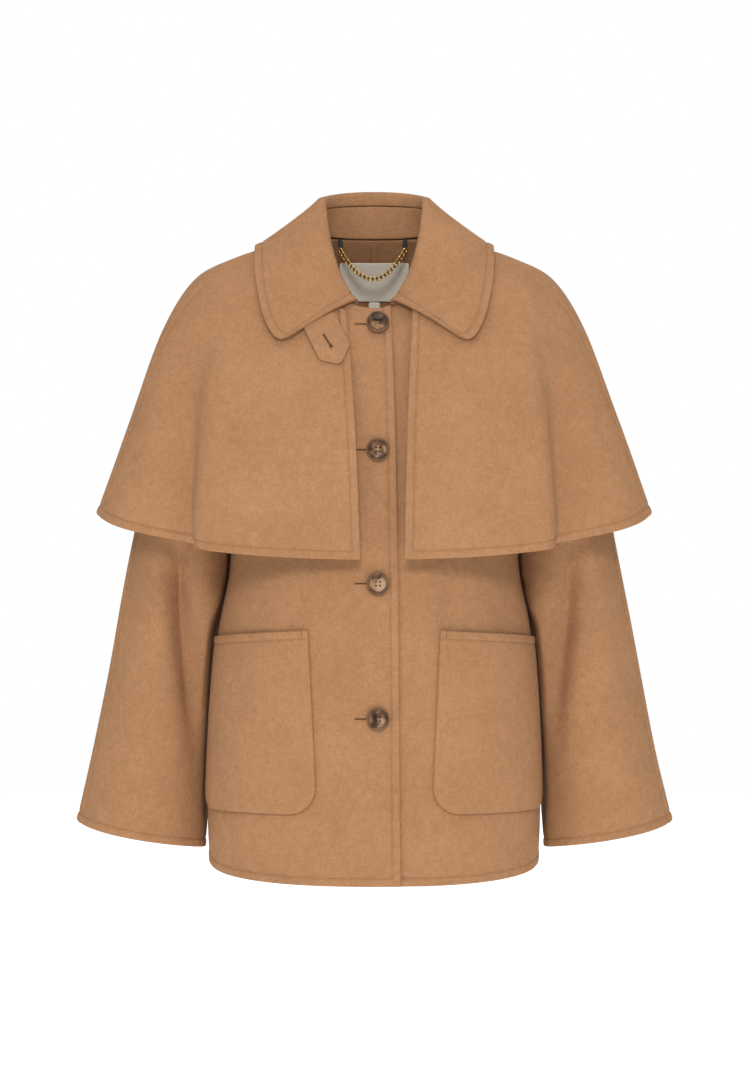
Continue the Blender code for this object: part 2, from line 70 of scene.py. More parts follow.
# Shader maths as Python: a wire is a socket, and an expression on wires adds its Math nodes
class Wire:
    def __init__(self, tree, socket=None):
        self.tree = tree
        self.socket = socket

    def add(self, kind, settings=None, sockets=None, output=0):
        node = self.tree.nodes.new(kind)
        for key, value in (settings or {}).items():
            if key == "stops":
                ramp = node.color_ramp.elements
                while len(ramp) < len(value):
                    ramp.new(1)
                for element, (position, colour) in zip(ramp, value):
                    element.position, element.color = position, (*colour, 1)
            else:
                setattr(node, key, value)
        for key, value in (sockets or {}).items():
            if isinstance(value, Wire):
                self.tree.links.new(value.socket, node.inputs[key])
            else:
                node.inputs[key].default_value = value
        return Wire(self.tree, node.outputs[output])

    def sum(self, operation, first, second):
        return self.add("ShaderNodeMath", {"operation": operation}, {0: first, 1: second})

    def __add__(self, other):
        return self.sum("ADD", self, other)

    def __sub__(self, other):
        return self.sum("SUBTRACT", self, other)

    def __rsub__(self, other):
        return self.sum("SUBTRACT", other, self)

    def __mul__(self, other):
        return self.sum("MULTIPLY", self, other)

    __radd__, __rmul__ = __add__, __mul__

    def __truediv__(self, other):
        return self.sum("DIVIDE", self, other)

    def between(self, low, high):
        return self.add("ShaderNodeMapRange", {"interpolation_type": "SMOOTHSTEP"},
                        {"Value": self, "From Min": low, "From Max": high})

    def coords(self, kind):
        return self.add("ShaderNodeTexCoord", output=kind)

    def attribute(self, name):
        return self.add("ShaderNodeAttribute", {"attribute_name": name}, output="Fac")

    def apply(self, operation):
        return self.add("ShaderNodeMath", {"operation": operation}, {0: self})

    def noise(self, place, scale, detail=3.0, roughness=0.6, distortion=0.0):
        sockets = {"Vector": place, "Scale": scale, "Detail": detail, "Roughness": roughness}
        return self.add("ShaderNodeTexNoise", None, {**sockets, "Distortion": distortion}, "Fac")

    def blend(self, share, first, second):
        return self.add("ShaderNodeMix", {"data_type": "RGBA"}, {0: share, 6: first, 7: second}, 2)


def newMaterial(name, constants):
    material = bpy.data.materials.new(name)
    material.use_nodes = True
    shader = material.node_tree.nodes["Principled BSDF"]
    for key, value in constants.items():
        shader.inputs[key].default_value = value
    return material, shader, Wire(material.node_tree)


def plug(wire, shader, socket):
    wire.tree.links.new(wire.socket, shader.inputs[socket])


def plugBump(height, shader, strength, distance):
    sockets = {"Strength": strength, "Distance": distance, "Height": height}
    plug(height.add("ShaderNodeBump", None, sockets, "Normal"), shader, "Normal")


# Soft studio light on a pale floor
studio = {
    "paper": 1.0, "fill": 0.26,
    "lamps": [  # name, place, size, watts
        ("frontLamp", (-0.1, -3.3, 1.00), 0.7, 52),
        ("leftLamp", (-2.0, -2.4, 1.3), 1.2, 8),
        ("rightLamp", (2.0, -2.4, 1.0), 1.2, 7),
        ("backLamp", (0.8, 3.0, 1.5), 1.2, 26),
    ],
    "skyLight": 1.8, "skyAngle": math.radians(75), "aim": (0.0, 0.0, -0.3), "floorLevel": -1.1,
    "floorHalf": 9.0, "floorColour": (0.92, 0.92, 0.91, 1), "floorRoughness": 0.9, "floorGlow": 0.48,
}


def makeStudio(look):
    scene = bpy.context.scene
    scene.view_settings.view_transform = "Standard"
    world = bpy.data.worlds.new("studio")
    scene.world = world
    world.use_nodes = True
    sky = world.node_tree.nodes["Background"]
    sky.inputs["Color"].default_value = (1, 1, 1, 1)
    seen = Wire(world.node_tree).add("ShaderNodeLightPath", output="Is Camera Ray")
    plug(look["fill"] + seen * (look["paper"] - look["fill"]), sky, "Strength")
    for name, place, size, watts in look["lamps"]:
        data = bpy.data.lights.new(name, "AREA")
        data.size, data.energy = size, watts
        lamp = bpy.data.objects.new(name, data)
        scene.collection.objects.link(lamp)
        lamp.location = place
        aim = Vector(look["aim"]) - Vector(place)
        lamp.rotation_euler = aim.to_track_quat("-Z", "Y").to_euler()
    data = bpy.data.lights.new("skyLamp", "SUN")
    data.energy, data.angle = look["skyLight"], look["skyAngle"]
    scene.collection.objects.link(bpy.data.objects.new("skyLamp", data))
    bm = bmesh.new()
    bmesh.ops.create_grid(bm, x_segments=4, y_segments=4, size=look["floorHalf"])
    bmesh.ops.translate(bm, verts=bm.verts, vec=(0, 0, look["floorLevel"]))
    data = bpy.data.meshes.new("floor")
    bm.to_mesh(data)
    bm.free()
    floor = bpy.data.objects.new("floor", data)
    scene.collection.objects.link(floor)
    paper = newMaterial("paper", {
        "Base Color": look["floorColour"], "Roughness": look["floorRoughness"],
        "Emission Color": look["floorColour"], "Emission Strength": look["floorGlow"],
    })[0]
    data.materials.append(paper)


makeStudio(studio)
print("camera and studio ready")


# Camel wool: brushed nap, soft clouding and, at the stitched edges, a sewn line: thread dashes over a
# continuous line of painted groove shade
wool = {
    "finish": {
        "Roughness": 0.95, "Specular IOR Level": 0.12, "Sheen Weight": 0.05, "Sheen Roughness": 0.55,
        "Sheen Tint": (0.95, 0.78, 0.58, 1),
    },
    "light": (0.420, 0.219, 0.108, 1), "mid": (0.325, 0.164, 0.077, 1), "dark": (0.215, 0.103, 0.044, 1),
    # thread: colour of the sewn line, used both for the stitches' thread and for the painted shade in the
    # stitch groove
    "thread": (0.240, 0.116, 0.050, 1),
    "noises": {  # scale, detail, roughness
        "cloud": (16, 3, 0.6),
        "patch": (110, 3, 0.6),
        "grain": (300, 3, 0.65),
        "nap": (620, 3, 0.7),
        "fibre": (1900, 2, 0.7),
    },
    "yarn": (700, 2),  # scale, detail
    "yarnStretch": [(1.0, 0.12, 1), (0.12, 1.0, 1)],
    "tones": {"cloud": 0.20, "patch": 0.20, "grain": 0.28, "weave": 0.32},
    "toneRange": (0.38, 0.62), "fleckRange": (0.50, 0.80), "fleckShare": 0.60, "stitchAt": 0.0090,
    # the continuous line along each stitch groove is painted shade; the dashes on it are thread
    "stitchPitch": 0.0042, "lineRange": (0.00036, 0.00162), "dashRange": (0.10, 0.30), "grooveShadeShare": 0.18,
    "dashShare": 0.14,
    "heights": {"nap": 0.55, "fibre": 0.45, "grain": 0.6, "weave": 0.5, "line": -0.3},
    "bump": (0.55, 0.0011),  # strength, distance
}


def weigh(wires, shares):
    total = 0
    for name, share in shares.items():
        total = wires[name] * share + total
    return total


def makeWool(name, look):
    material, shader, start = newMaterial(name, look["finish"])
    place, flat = start.coords("Object"), start.coords("UV")
    wires = {key: start.noise(place, *values) for key, values in look["noises"].items()}
    stretched = [start.add("ShaderNodeVectorMath", {"operation": "MULTIPLY"}, {0: flat, 1: stretch})
                 for stretch in look["yarnStretch"]]
    warp, weft = [start.noise(lie, *look["yarn"]) for lie in stretched]
    wires["weave"] = warp * 0.5 + weft * 0.5
    gap = (start.attribute("stitchEdge") - look["stitchAt"]).apply("ABSOLUTE")
    wires["line"] = 1 - gap.between(*look["lineRange"])
    base = start.blend(weigh(wires, look["tones"]).between(*look["toneRange"]), look["mid"], look["light"])
    fleck = (1 - wires["nap"]).between(*look["fleckRange"]) * look["fleckShare"]
    colour = start.blend(fleck, base, look["dark"])
    dash = (start.attribute("stitchRun") / look["stitchPitch"]).apply("FRACT")
    stitch = wires["line"] * dash.between(*look["dashRange"])
    # sewn line: a continuous band of painted groove shade, with the thread's dashes on top
    sewn = wires["line"] * look["grooveShadeShare"] + stitch * look["dashShare"]
    plug(start.blend(sewn, colour, look["thread"]), shader, "Base Color")
    plugBump(weigh(wires, look["heights"]), shader, *look["bump"])
    return material


woolCloth = makeWool("camelWool", wool)
print("wool ready")


# Curves through tables, and the rings that the body and the cape share
square = 2.3
finder = {"rounds": 14, "step": 0.01, "reach": 0.6}
flipX = np.array([-1, 1, 1])
withoutZ = np.array([1, 1, 0])


def mix(first, second, share):
    return first + (second - first) * share


def ease(value):
    value = np.clip(value, 0, 1)
    return value * value * (3 - 2 * value)


def bell(value):
    return np.exp(-value * value)


def signedPower(value, power):
    return np.sign(value) * np.abs(value) ** power


def unit(vectors):
    return vectors / np.maximum(np.linalg.norm(vectors, axis=-1, keepdims=True), 1e-12)


def curveThrough(before, here, after, beyond, t):
    return (before * (-0.5 * t + t ** 2 - 0.5 * t ** 3) + here * (1 - 2.5 * t ** 2 + 1.5 * t ** 3)
            + after * (0.5 * t + 2 * t ** 2 - 1.5 * t ** 3) + beyond * (-0.5 * t ** 2 + 0.5 * t ** 3))


def tableRow(table, place):
    table, place = np.asarray(table, float), np.asarray(place, float)
    last = len(table) - 1
    index = np.clip(np.floor(place), 0, last - 1).astype(int)
    near = [table[np.clip(index + step, 0, last)] for step in (-1, 0, 1, 2)]
    return curveThrough(*near, (place - index)[..., None])


def ringPoint(ring, turn):
    width, front, back, zSide, zFront, zBack, bend = np.moveaxis(np.asarray(ring, float), -1, 0)
    side, ahead = np.sin(turn), np.cos(turn)
    depth = np.where(ahead > 0, front, back)
    zMiddle = np.where(ahead > 0, zFront, zBack)
    x = width * signedPower(side, 2 / square)
    y = -depth * signedPower(ahead, 2 / square)
    z = zSide + (zMiddle - zSide) * np.abs(ahead) ** bend
    return np.stack(np.broadcast_arrays(x, y, z), -1)


def turnAt(table, place, x):
    share = np.clip(x / tableRow(table, place)[..., 0], -1, 1)
    return np.arcsin(signedPower(share, square / 2))


def placeOn(surface, x, z, place, turn):
    # place and turn of the surface's point with this x and z
    x, z = np.broadcast_arrays(np.asarray(x, float), np.asarray(z, float))
    place, turn = np.zeros(x.shape) + place, np.zeros(x.shape) + turn
    step, reach = finder["step"], finder["reach"]
    for _ in range(finder["rounds"]):
        here = surface(place, turn)
        byPlace = (surface(place + step, turn) - here) / step
        byTurn = (surface(place, turn + step) - here) / step
        det = byPlace[..., 0] * byTurn[..., 2] - byTurn[..., 0] * byPlace[..., 2]
        missX, missZ = x - here[..., 0], z - here[..., 2]
        place = place + np.clip((missX * byTurn[..., 2] - byTurn[..., 0] * missZ) / det, -reach, reach)
        turn = turn + (byPlace[..., 0] * missZ - missX * byPlace[..., 2]) / det
    return place, turn


def normalOf(surface, place, turn):
    step = finder["step"]
    along = surface(place + step, turn) - surface(place - step, turn)
    around = surface(place, turn + step) - surface(place, turn - step)
    return unit(np.cross(along, around))


# Cloth sheets: a grid with lines of its own along stitched edges, laid on a panel, then given thickness
sheet = {
    "cell": 0.0085,
    "plain": [0, 0.004],
    "stitched": [0, 0.0016, 0.0045, 0.0068, 0.0080, 0.0090, 0.0100, 0.0114, 0.0140],
    "aroundSeam": [-0.0035, -0.0018, -0.0007, 0.0005, 0.0016, 0.0034],
    "beforeSeam": 0.006, "cloth": 0.0028, "grooveDepth": 0.0008, "grooveWidth": 0.0016,
    "edgeRise": 0.0006, "bandRise": 0.0012, "riseWidth": 0.002, "seamFrom": 0.08, "seamOver": 0.06,
    "lineFade": 0.01, "normalStep": 0.002, "samples": 161,
}


def sway(points, size):
    # slow uneven lie of the cloth, the same for every layer at a place
    x, y, z = np.moveaxis(points, -1, 0)
    return size * (np.sin(23 * x + 11 * z + 1.3) + 0.7 * np.sin(29 * z - 17 * x + 9 * y + 0.4)
                   + 0.5 * np.sin(41 * x - 13 * z + 2.1)) / 2.2


def runLength(points, axis):
    steps = np.linalg.norm(np.diff(points, axis=axis), axis=-1)
    pad = [(0, 0), (0, 0)]
    pad[axis] = (1, 0)
    return np.pad(np.cumsum(steps, axis=axis), pad)


def lineUp(starts, ends, length, cell):
    # grid lines as offset + scale * length: some at set distances from either end, the rest shared out
    first, last = starts[-1], ends[-1]
    count = max(2, round((length - first - last) / cell))
    shares = np.arange(1, count) / count
    offset = np.concatenate([starts, first * (1 - shares) - last * shares, -np.array(ends[::-1], float)])
    scale = np.concatenate([np.zeros(len(starts)), shares, np.ones(len(ends))])
    return offset, scale


def lookUp(table, row, column):
    last = len(table) - 1
    row, column = np.clip(row, 0, 1) * last, np.clip(column, 0, 1) * last
    i, j = np.minimum(row.astype(int), last - 1), np.minimum(column.astype(int), last - 1)
    a, b = row - i, column - j
    return ((table[i, j] * (1 - b) + table[i, j + 1] * b) * (1 - a)
            + (table[i + 1, j] * (1 - b) + table[i + 1, j + 1] * b) * a)


def edgeLines(side, stitched, seams, cell):
    if side not in seams:
        return sheet["stitched" if side in stitched else "plain"]
    at = seams[side]
    before = list(np.arange(0, at - sheet["beforeSeam"], cell))
    return before + [at + step for step in sheet["aroundSeam"]]


def layGrid(panel, stitched, seams, cell):
    steps = np.linspace(0, 1, sheet["samples"])
    u, v = np.meshgrid(steps, steps)
    points = panel(u, v)
    across, down = runLength(points, 1), runLength(points, 0)
    width, height = across[:, -1], down[-1, :]
    backAcross = np.array([np.interp(steps, row / row[-1], steps) for row in across])
    backDown = np.array([np.interp(steps, line / line[-1], steps) for line in down.T]).T
    lines = {side: edgeLines(side, stitched, seams, cell) for side in ("left", "right", "top", "bottom")}
    columns = lineUp(lines["left"], lines["right"], width.max(), cell)
    rows = lineUp(lines["top"], lines["bottom"], height.max(), cell)
    v = np.repeat(((rows[0] + rows[1] * height.mean()) / height.mean())[:, None], len(columns[0]), axis=1)
    for _ in range(4):
        wide = np.interp(v, steps, width)
        left = columns[0] + columns[1] * wide
        u = lookUp(backAcross, v, left / wide)
        tall = np.interp(u, steps, height)
        top = rows[0][:, None] + rows[1][:, None] * tall
        v = lookUp(backDown, top / tall, u)
    marks = {"left": left, "right": wide - left, "top": top, "bottom": tall - top}
    return u, v, marks


def panelNormal(panel, u, v):
    step = sheet["normalStep"]
    along = panel(u, np.clip(v + step, 0, 1)) - panel(u, np.clip(v - step, 0, 1))
    around = panel(np.clip(u + step, 0, 1), v) - panel(np.clip(u - step, 0, 1), v)
    return unit(np.cross(along, around))


def addObject(name, bm, material):
    data = bpy.data.meshes.new(name)
    for face in bm.faces:
        face.smooth = True
    bm.to_mesh(data)
    bm.free()
    piece = bpy.data.objects.new(name, data)
    bpy.context.scene.collection.objects.link(piece)
    data.materials.append(material)
    return piece


def addSubdivision(piece, levels):
    modifier = piece.modifiers.new("soften", "SUBSURF")
    modifier.levels = modifier.render_levels = levels


def seat(piece, slotName, *nodes):
    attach(piece, "root")
    if nodes:
        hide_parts(*nodes)


def makeSheet(node, panel, outside, stitched=(), seams=None, thickness=None, relief=None, swing=0.0,
              material=None, slotName="wool", cell=None, held="hung", replaced=True):
    seams = seams or {}
    u, v, marks = layGrid(panel, stitched, seams, cell or sheet["cell"])
    points, normals = panel(u, v), panelNormal(panel, u, v)
    if np.sum(normals * outside(points)) < 0:
        normals = -normals
    far = np.full(u.shape, 1.0)
    # stitchEdge is the distance to the sewn line, which the wool paints as thread dashes over a painted
    # groove shade
    edge = np.min([marks[side] for side in stitched] + [far], axis=0)
    nearSide = np.min([marks[side] for side in stitched if side in ("left", "right")] + [far], axis=0)
    run = np.where(nearSide <= edge + 1e-6, marks["top"], marks["left"])
    gap = (edge - wool["stitchAt"]) / sheet["grooveWidth"]
    height = sheet["edgeRise"] * ease((wool["stitchAt"] - edge) / sheet["riseWidth"])
    height = height - sheet["grooveDepth"] * bell(gap)
    grown = ease((marks["top"] - sheet["seamFrom"]) / sheet["seamOver"])
    # each seam also gets the sewn line, with its painted groove shade and thread dashes
    for side, at in seams.items():
        past = marks[side] - at
        edge = np.minimum(edge, np.abs(past) + wool["stitchAt"] + sheet["lineFade"] * (1 - grown))
        height = height + grown * sheet["bandRise"] * ease(-past / sheet["riseWidth"])
        height = height - grown * sheet["grooveDepth"] * bell(past / sheet["grooveWidth"])
    height = height + sway(points, swing)
    if relief is not None:
        height = height + relief(points, u, v, marks)
    points = points + normals * height[..., None]
    rows, columns = u.shape
    bm = bmesh.new()
    bmesh.ops.create_grid(bm, x_segments=columns - 1, y_segments=rows - 1, size=0.5)
    edgeLayer = bm.verts.layers.float.new("stitchEdge")
    runLayer = bm.verts.layers.float.new("stitchRun")
    spots = {}
    for vert in bm.verts:
        i, j = round((vert.co.y + 0.5) * (rows - 1)), round((vert.co.x + 0.5) * (columns - 1))
        spots[vert] = (i, j)
        vert[edgeLayer], vert[runLayer] = edge[i, j], run[i, j]
    for vert, (i, j) in spots.items():
        vert.co = points[i, j]
    uvLayer = bm.loops.layers.uv.new("cloth")
    for face in bm.faces:
        for loop in face.loops:
            i, j = spots[loop.vert]
            loop[uvLayer].uv = (marks["left"][i, j], marks["bottom"][i, j])
    bm.normal_update()
    middle = bm.faces[:][len(bm.faces) // 2]
    if middle.normal.dot(Vector(normals[spots[middle.verts[0]]])) < 0:
        bmesh.ops.reverse_faces(bm, faces=bm.faces)
    area = sum(face.calc_area() for face in bm.faces)
    piece = addObject(node + "_cloth", bm, material or woolCloth)
    shell = piece.modifiers.new("thickness", "SOLIDIFY")
    shell.thickness, shell.offset = thickness or sheet["cloth"], -1
    addSubdivision(piece, 1)
    seat(piece, slotName, *([node] if replaced else []))
    wide = float((marks["left"] + marks["right"]).max())
    tall = float((marks["top"] + marks["bottom"]).max())
    print(node, "laid:", rows, "by", columns, "area", round(area, 4))


def fromAxis(points):
    return points * withoutZ


def towardsAxis(points):
    return -fromAxis(points)


def upwards(points):
    return np.zeros_like(points) + np.array([0, 0, 1.0])


def mirrored(panel):
    return lambda u, v: panel(u, v) * flipX


# Body: two fronts, the wearer's right over the left, and two backs
body = {
    "rings": [  # width, front, back, zSide, zFront, zBack, bend
        (0.068, 0.060, 0.058, 0.018, -0.066, 0.015, 1.3),
        (0.110, 0.078, 0.075, 0.000, -0.090, -0.005, 1.3),
        (0.150, 0.093, 0.092, -0.016, -0.116, -0.030, 1.3),
        (0.178, 0.104, 0.104, -0.035, -0.145, -0.060, 1.3),
        (0.184, 0.111, 0.110, -0.080, -0.175, -0.100, 1.3),
        (0.174, 0.116, 0.111, -0.165, -0.215, -0.170, 1.3),
        (0.163, 0.119, 0.108, -0.250, -0.265, -0.245, 1.3),
        (0.158, 0.121, 0.106, -0.340, -0.340, -0.340, 1.3),
        (0.173, 0.124, 0.108, -0.430, -0.430, -0.430, 1.3),
        (0.183, 0.128, 0.115, -0.590, -0.590, -0.590, 1.0),
        (0.181, 0.130, 0.118, -0.664, -0.691, -0.690, 0.6),
    ],
    "hemRow": 10, "frontEdge": (0.018, 0.0286), "underlap": -0.022, "recess": (0.034, 0.060, 0.0036),
    "swing": 0.0010,
    "dent": {"x": 0.082, "width": 0.007, "depth": 0.0028, "top": -0.33, "topFade": 0.05, "bottom": -0.43,
             "bottomFade": 0.03},
    "armhole": {"middle": 4.5, "half": 1.5, "turn": math.radians(38), "fit": 0.965},
    "seam": -0.0008,  # neighbours overlap, so that no light shows through
    "cloth": 0.0028,
}


def bodyPoint(place, turn):
    return ringPoint(tableRow(body["rings"], place), turn)


def armholeTurn(place):
    hole = body["armhole"]
    reach = (place - hole["middle"]) / hole["half"]
    return hole["turn"] * np.sqrt(np.maximum(0, 1 - reach * reach))


def seamTurn(table, place):
    return body["seam"] / tableRow(table, place)[..., 0]


def frontRightPanel(u, v):
    place = v * body["hemRow"]
    edge = turnAt(body["rings"], place, mix(*body["frontEdge"], v))
    end = armholeTurn(place) + seamTurn(body["rings"], place) - quarter
    return bodyPoint(place, mix(edge, end, u))


def frontLeftPanel(u, v):
    place = v * body["hemRow"]
    edge = turnAt(body["rings"], place, body["underlap"])
    end = quarter - armholeTurn(place) - seamTurn(body["rings"], place)
    return bodyPoint(place, mix(edge, end, u))


def frontRelief(points, u, v, marks):
    # a soft hollow above each pocket's inner corner
    dent = body["dent"]
    z = points[..., 2]
    fade = ease((dent["top"] - z) / dent["topFade"]) * ease((z - dent["bottom"]) / dent["bottomFade"])
    return -dent["depth"] * bell((np.abs(points[..., 0]) - dent["x"]) / dent["width"]) * fade


def underRelief(points, u, v, marks):
    full, end, depth = body["recess"]
    return frontRelief(points, u, v, marks) - depth * ease((end - points[..., 0]) / (end - full))


def backLeftPanel(u, v):
    place = v * body["hemRow"]
    seam = seamTurn(body["rings"], place)
    return bodyPoint(place, mix(quarter + armholeTurn(place) + seam, math.pi - seam, u))


for node, panel, stitched, relief in (
    ("front_right", frontRightPanel, ("left", "bottom"), frontRelief),
    ("front_left", frontLeftPanel, ("bottom",), underRelief),
    ("back_left", backLeftPanel, ("bottom",), None),
    ("back_right", mirrored(backLeftPanel), ("bottom",), None),
):
    makeSheet(node, panel, fromAxis, stitched, relief=relief, swing=body["swing"])


# Sleeves: a front and a back half each, from the armhole to a wide slanted cuff
sleeve = {
    "rows": [  # z, outer, inner, middle, depth, drop
        (-0.300, 0.262, 0.150, 0.025, 0.076, 0.000),
        (-0.372, 0.276, 0.154, 0.027, 0.075, 0.000),
        (-0.4675, 0.293, 0.164, 0.029, 0.074, 0.000),
        (-0.561, 0.312, 0.178, 0.030, 0.073, 0.005),
        (-0.627, 0.328, 0.187, 0.030, 0.072, 0.030),
    ],
    "dropPower": 0.6, "bulge": 0.016, "bulgeWay": (1, 0, 0.6), "underFrom": 0.1, "underarmRow": 6,
    "gap": 0.0045, "pocketGap": 0.0078, "pocketTop": -0.416, "pocketBottom": -0.614, "pocketFade": 0.03,
    "seamTurn": -0.0008 / 0.06,  # the overlap over half a sleeve's width
    "axis": (0.238, 0.028), "seamAt": 0.029, "swing": 0.0012,
    "valley": {"x": 0.216, "z": -0.335, "slope": 0.160, "outerWidth": 0.018, "innerWidth": 0.021,
               "length": 0.36, "endAt": 0.66, "endWidth": 0.18, "fullAt": 0.86, "fullWidth": 0.07,
               "full": 0.003, "from": 0.2, "over": 0.2},
    "valleyDepths": {"left": 0.024, "right": 0.031},
}
bodySteps = np.linspace(sleeve["underarmRow"], body["hemRow"], 200)
bodyLevels = tableRow(body["rings"], bodySteps)[:, 3]


def clearOfBody(points):
    x, y, z = np.moveaxis(points, -1, 0)
    place = np.interp(-z, -bodyLevels, bodySteps)
    ring = tableRow(body["rings"], place)
    fade = sleeve["pocketFade"]
    byPocket = (ease((sleeve["pocketTop"] + fade - z) / fade)
                * ease((z - sleeve["pocketBottom"] + fade) / fade) * ease((fade - y) / fade))
    gap = mix(sleeve["gap"], sleeve["pocketGap"], byPocket)
    depth = np.where(y < 0, ring[..., 1], ring[..., 2])
    share = (np.abs(x) / (ring[..., 0] + gap)) ** square + (np.abs(y) / (depth + gap)) ** square
    push = np.where(share < 1, np.maximum(share, 1e-6) ** (-1 / square), 1)
    return np.stack([x * push, y * push, z], -1)


def sleeveSection(place, turn):
    z, outer, inner, middle, depth, drop = np.moveaxis(tableRow(sleeve["rows"], place), -1, 0)
    x = (outer + inner) / 2 + (outer - inner) / 2 * np.cos(turn)
    y = middle - depth * np.sin(turn)
    level = z - drop * ((1 - np.cos(turn)) / 2) ** sleeve["dropPower"]
    return clearOfBody(np.stack(np.broadcast_arrays(x, y, level), -1))


def sleevePoint(place, turn):
    hole = body["armhole"]
    holePlace = hole["middle"] - hole["half"] * hole["fit"] * np.cos(turn)
    head = bodyPoint(holePlace, quarter - hole["turn"] * hole["fit"] * np.sin(turn))
    share = np.clip(place, 0, 1)
    bulge = sleeve["bulge"] * np.maximum(0, np.cos(turn)) * np.sin(math.pi * share)
    point = mix(head, sleeveSection(np.zeros_like(place), turn), share[..., None])
    point = point + bulge[..., None] * np.array(sleeve["bulgeWay"])
    under = (np.cos(turn) <= 0) & (share >= sleeve["underFrom"])
    point = np.where(under[..., None], clearOfBody(point), point)
    return np.where((place >= 1)[..., None], sleeveSection(np.maximum(place - 1, 0), turn), point)


def sleevePanel(first):
    start, end = first + sleeve["seamTurn"], first + math.pi - sleeve["seamTurn"]
    return lambda u, v: sleevePoint(v * len(sleeve["rows"]), mix(start, end, u))


def fromSleeve(points):
    return fromAxis(points - np.array([*sleeve["axis"], 0]))


def fromOtherSleeve(points):
    return fromSleeve(points * flipX) * flipX


def valleyRelief(depth):
    # the soft fold that runs from under the cape down the front of a sleeve
    valley = sleeve["valley"]

    def relief(points, u, v, marks):
        x, z = np.abs(points[..., 0]), points[..., 2]
        line = valley["x"] + valley["slope"] * (z - valley["z"])
        fade = 1 - ease((valley["z"] - z) / valley["length"])
        width = np.where(x > line, valley["outerWidth"], valley["innerWidth"])
        full = valley["full"] * bell((u - valley["fullAt"]) / valley["fullWidth"])
        fade = fade * (1 - ease((u - valley["endAt"]) / valley["endWidth"]))
        grown = ease((v - valley["from"]) / valley["over"])
        return (full - fade * depth * bell((x - line) / width)) * grown
    return relief


for half, first in (("front", 0.0), ("back", math.pi)):
    seams = {"left": sleeve["seamAt"]} if half == "front" else {}
    left = sleevePanel(first)
    for side, panel, outside in (("left", left, fromSleeve), ("right", mirrored(left), fromOtherSleeve)):
        relief = valleyRelief(sleeve["valleyDepths"][side]) if half == "front" else None
        makeSheet("sleeve_%s_%s" % (side, half), panel, outside, ("bottom",), seams, relief=relief,
                  swing=sleeve["swing"])


# Shoulder cape: two fronts and a back, with a fold on each side
cape = {
    "rings": [  # width, front, back, zSide, zFront, zBack, bend
        (0.070, 0.064, 0.0615, 0.022, -0.063, 0.018, 1.3),
        (0.112, 0.083, 0.079, 0.006, -0.088, -0.002, 1.3),
        (0.155, 0.100, 0.098, -0.009, -0.115, -0.028, 1.3),
        (0.197, 0.115, 0.114, -0.032, -0.150, -0.056, 1.3),
        (0.2335, 0.128, 0.126, -0.088, -0.195, -0.110, 1.3),
        (0.2676, 0.140, 0.138, -0.180, -0.260, -0.200, 1.3),
        (0.305, 0.150, 0.150, -0.288, -0.340, -0.335, 1.3),
    ],
    "top": 0.5, "hemRow": 6, "rightEdge": (-0.031, -0.0145), "leftEdge": (0.0415, 0.032),
    "folds": [  # ridge at the top and the hem, spread, rise, dip, side of the dip, first row
        (math.radians(52), math.radians(33), math.radians(6), 0.010, 0.031, 1, 2.4),
        (math.radians(118), math.radians(140), math.radians(9), 0.010, 0.016, -1, 2.6),
    ],
    "flank": (2.4, 1.6),  # spreads from the ridge to the dip, at the top and the hem
    "ridgeWidth": 2.2, "dipWidth": 2.4, "growth": 1.3, "frontCell": 0.007, "seamAt": 0.032,
    "swing": 0.0010, "cloth": 0.0032,
}


def plainCapePoint(place, turn):
    return ringPoint(tableRow(cape["rings"], place), turn)


def capePoint(place, turn):
    point = plainCapePoint(place, turn)
    away = np.stack(np.broadcast_arrays(np.sin(turn), -np.cos(turn), 0 * turn), -1)
    angle = np.abs((turn + math.pi) % (2 * math.pi) - math.pi)
    for ridgeTop, ridgeHem, spread, rise, dip, outside, start in cape["folds"]:
        grown = np.maximum(0, (place - start) / (cape["hemRow"] - start))
        offset = (angle - mix(ridgeTop, ridgeHem, grown)) * outside / spread
        ridge = rise * bell(np.minimum(offset, 0) / cape["ridgeWidth"])
        wide = mix(*cape["flank"], grown * grown)
        flank = ridge - (rise + dip) * ease(offset / wide)
        height = np.where(offset < wide, flank, -dip * bell((offset - wide) / cape["dipWidth"]))
        point = point + away * (height * grown ** cape["growth"])[..., None]
    return point


def capeFrontPanel(edges, side):
    def panel(u, v):
        place = mix(cape["top"], cape["hemRow"], v)
        edge = turnAt(cape["rings"], place, mix(*edges, v))
        end = side * (quarter - seamTurn(cape["rings"], place))
        return capePoint(place, mix(edge, end, u))
    return panel


def capeBackPanel(u, v):
    place = mix(cape["top"], cape["hemRow"], v)
    seam = seamTurn(cape["rings"], place)
    return capePoint(place, mix(quarter + seam, 3 * quarter - seam, u))


capeSheet = {"thickness": cape["cloth"], "swing": cape["swing"], "held": "draped"}
for name, edges, side in (("right", cape["rightEdge"], -1), ("left", cape["leftEdge"], 1)):
    makeSheet("cape_front_" + name, capeFrontPanel(edges, side), fromAxis, ("left", "bottom"),
              {"right": cape["seamAt"]}, cell=cape["frontCell"], **capeSheet)
makeSheet("cape_back", capeBackPanel, fromAxis, ("bottom",), **capeSheet)
print("body, sleeves and cape laid")


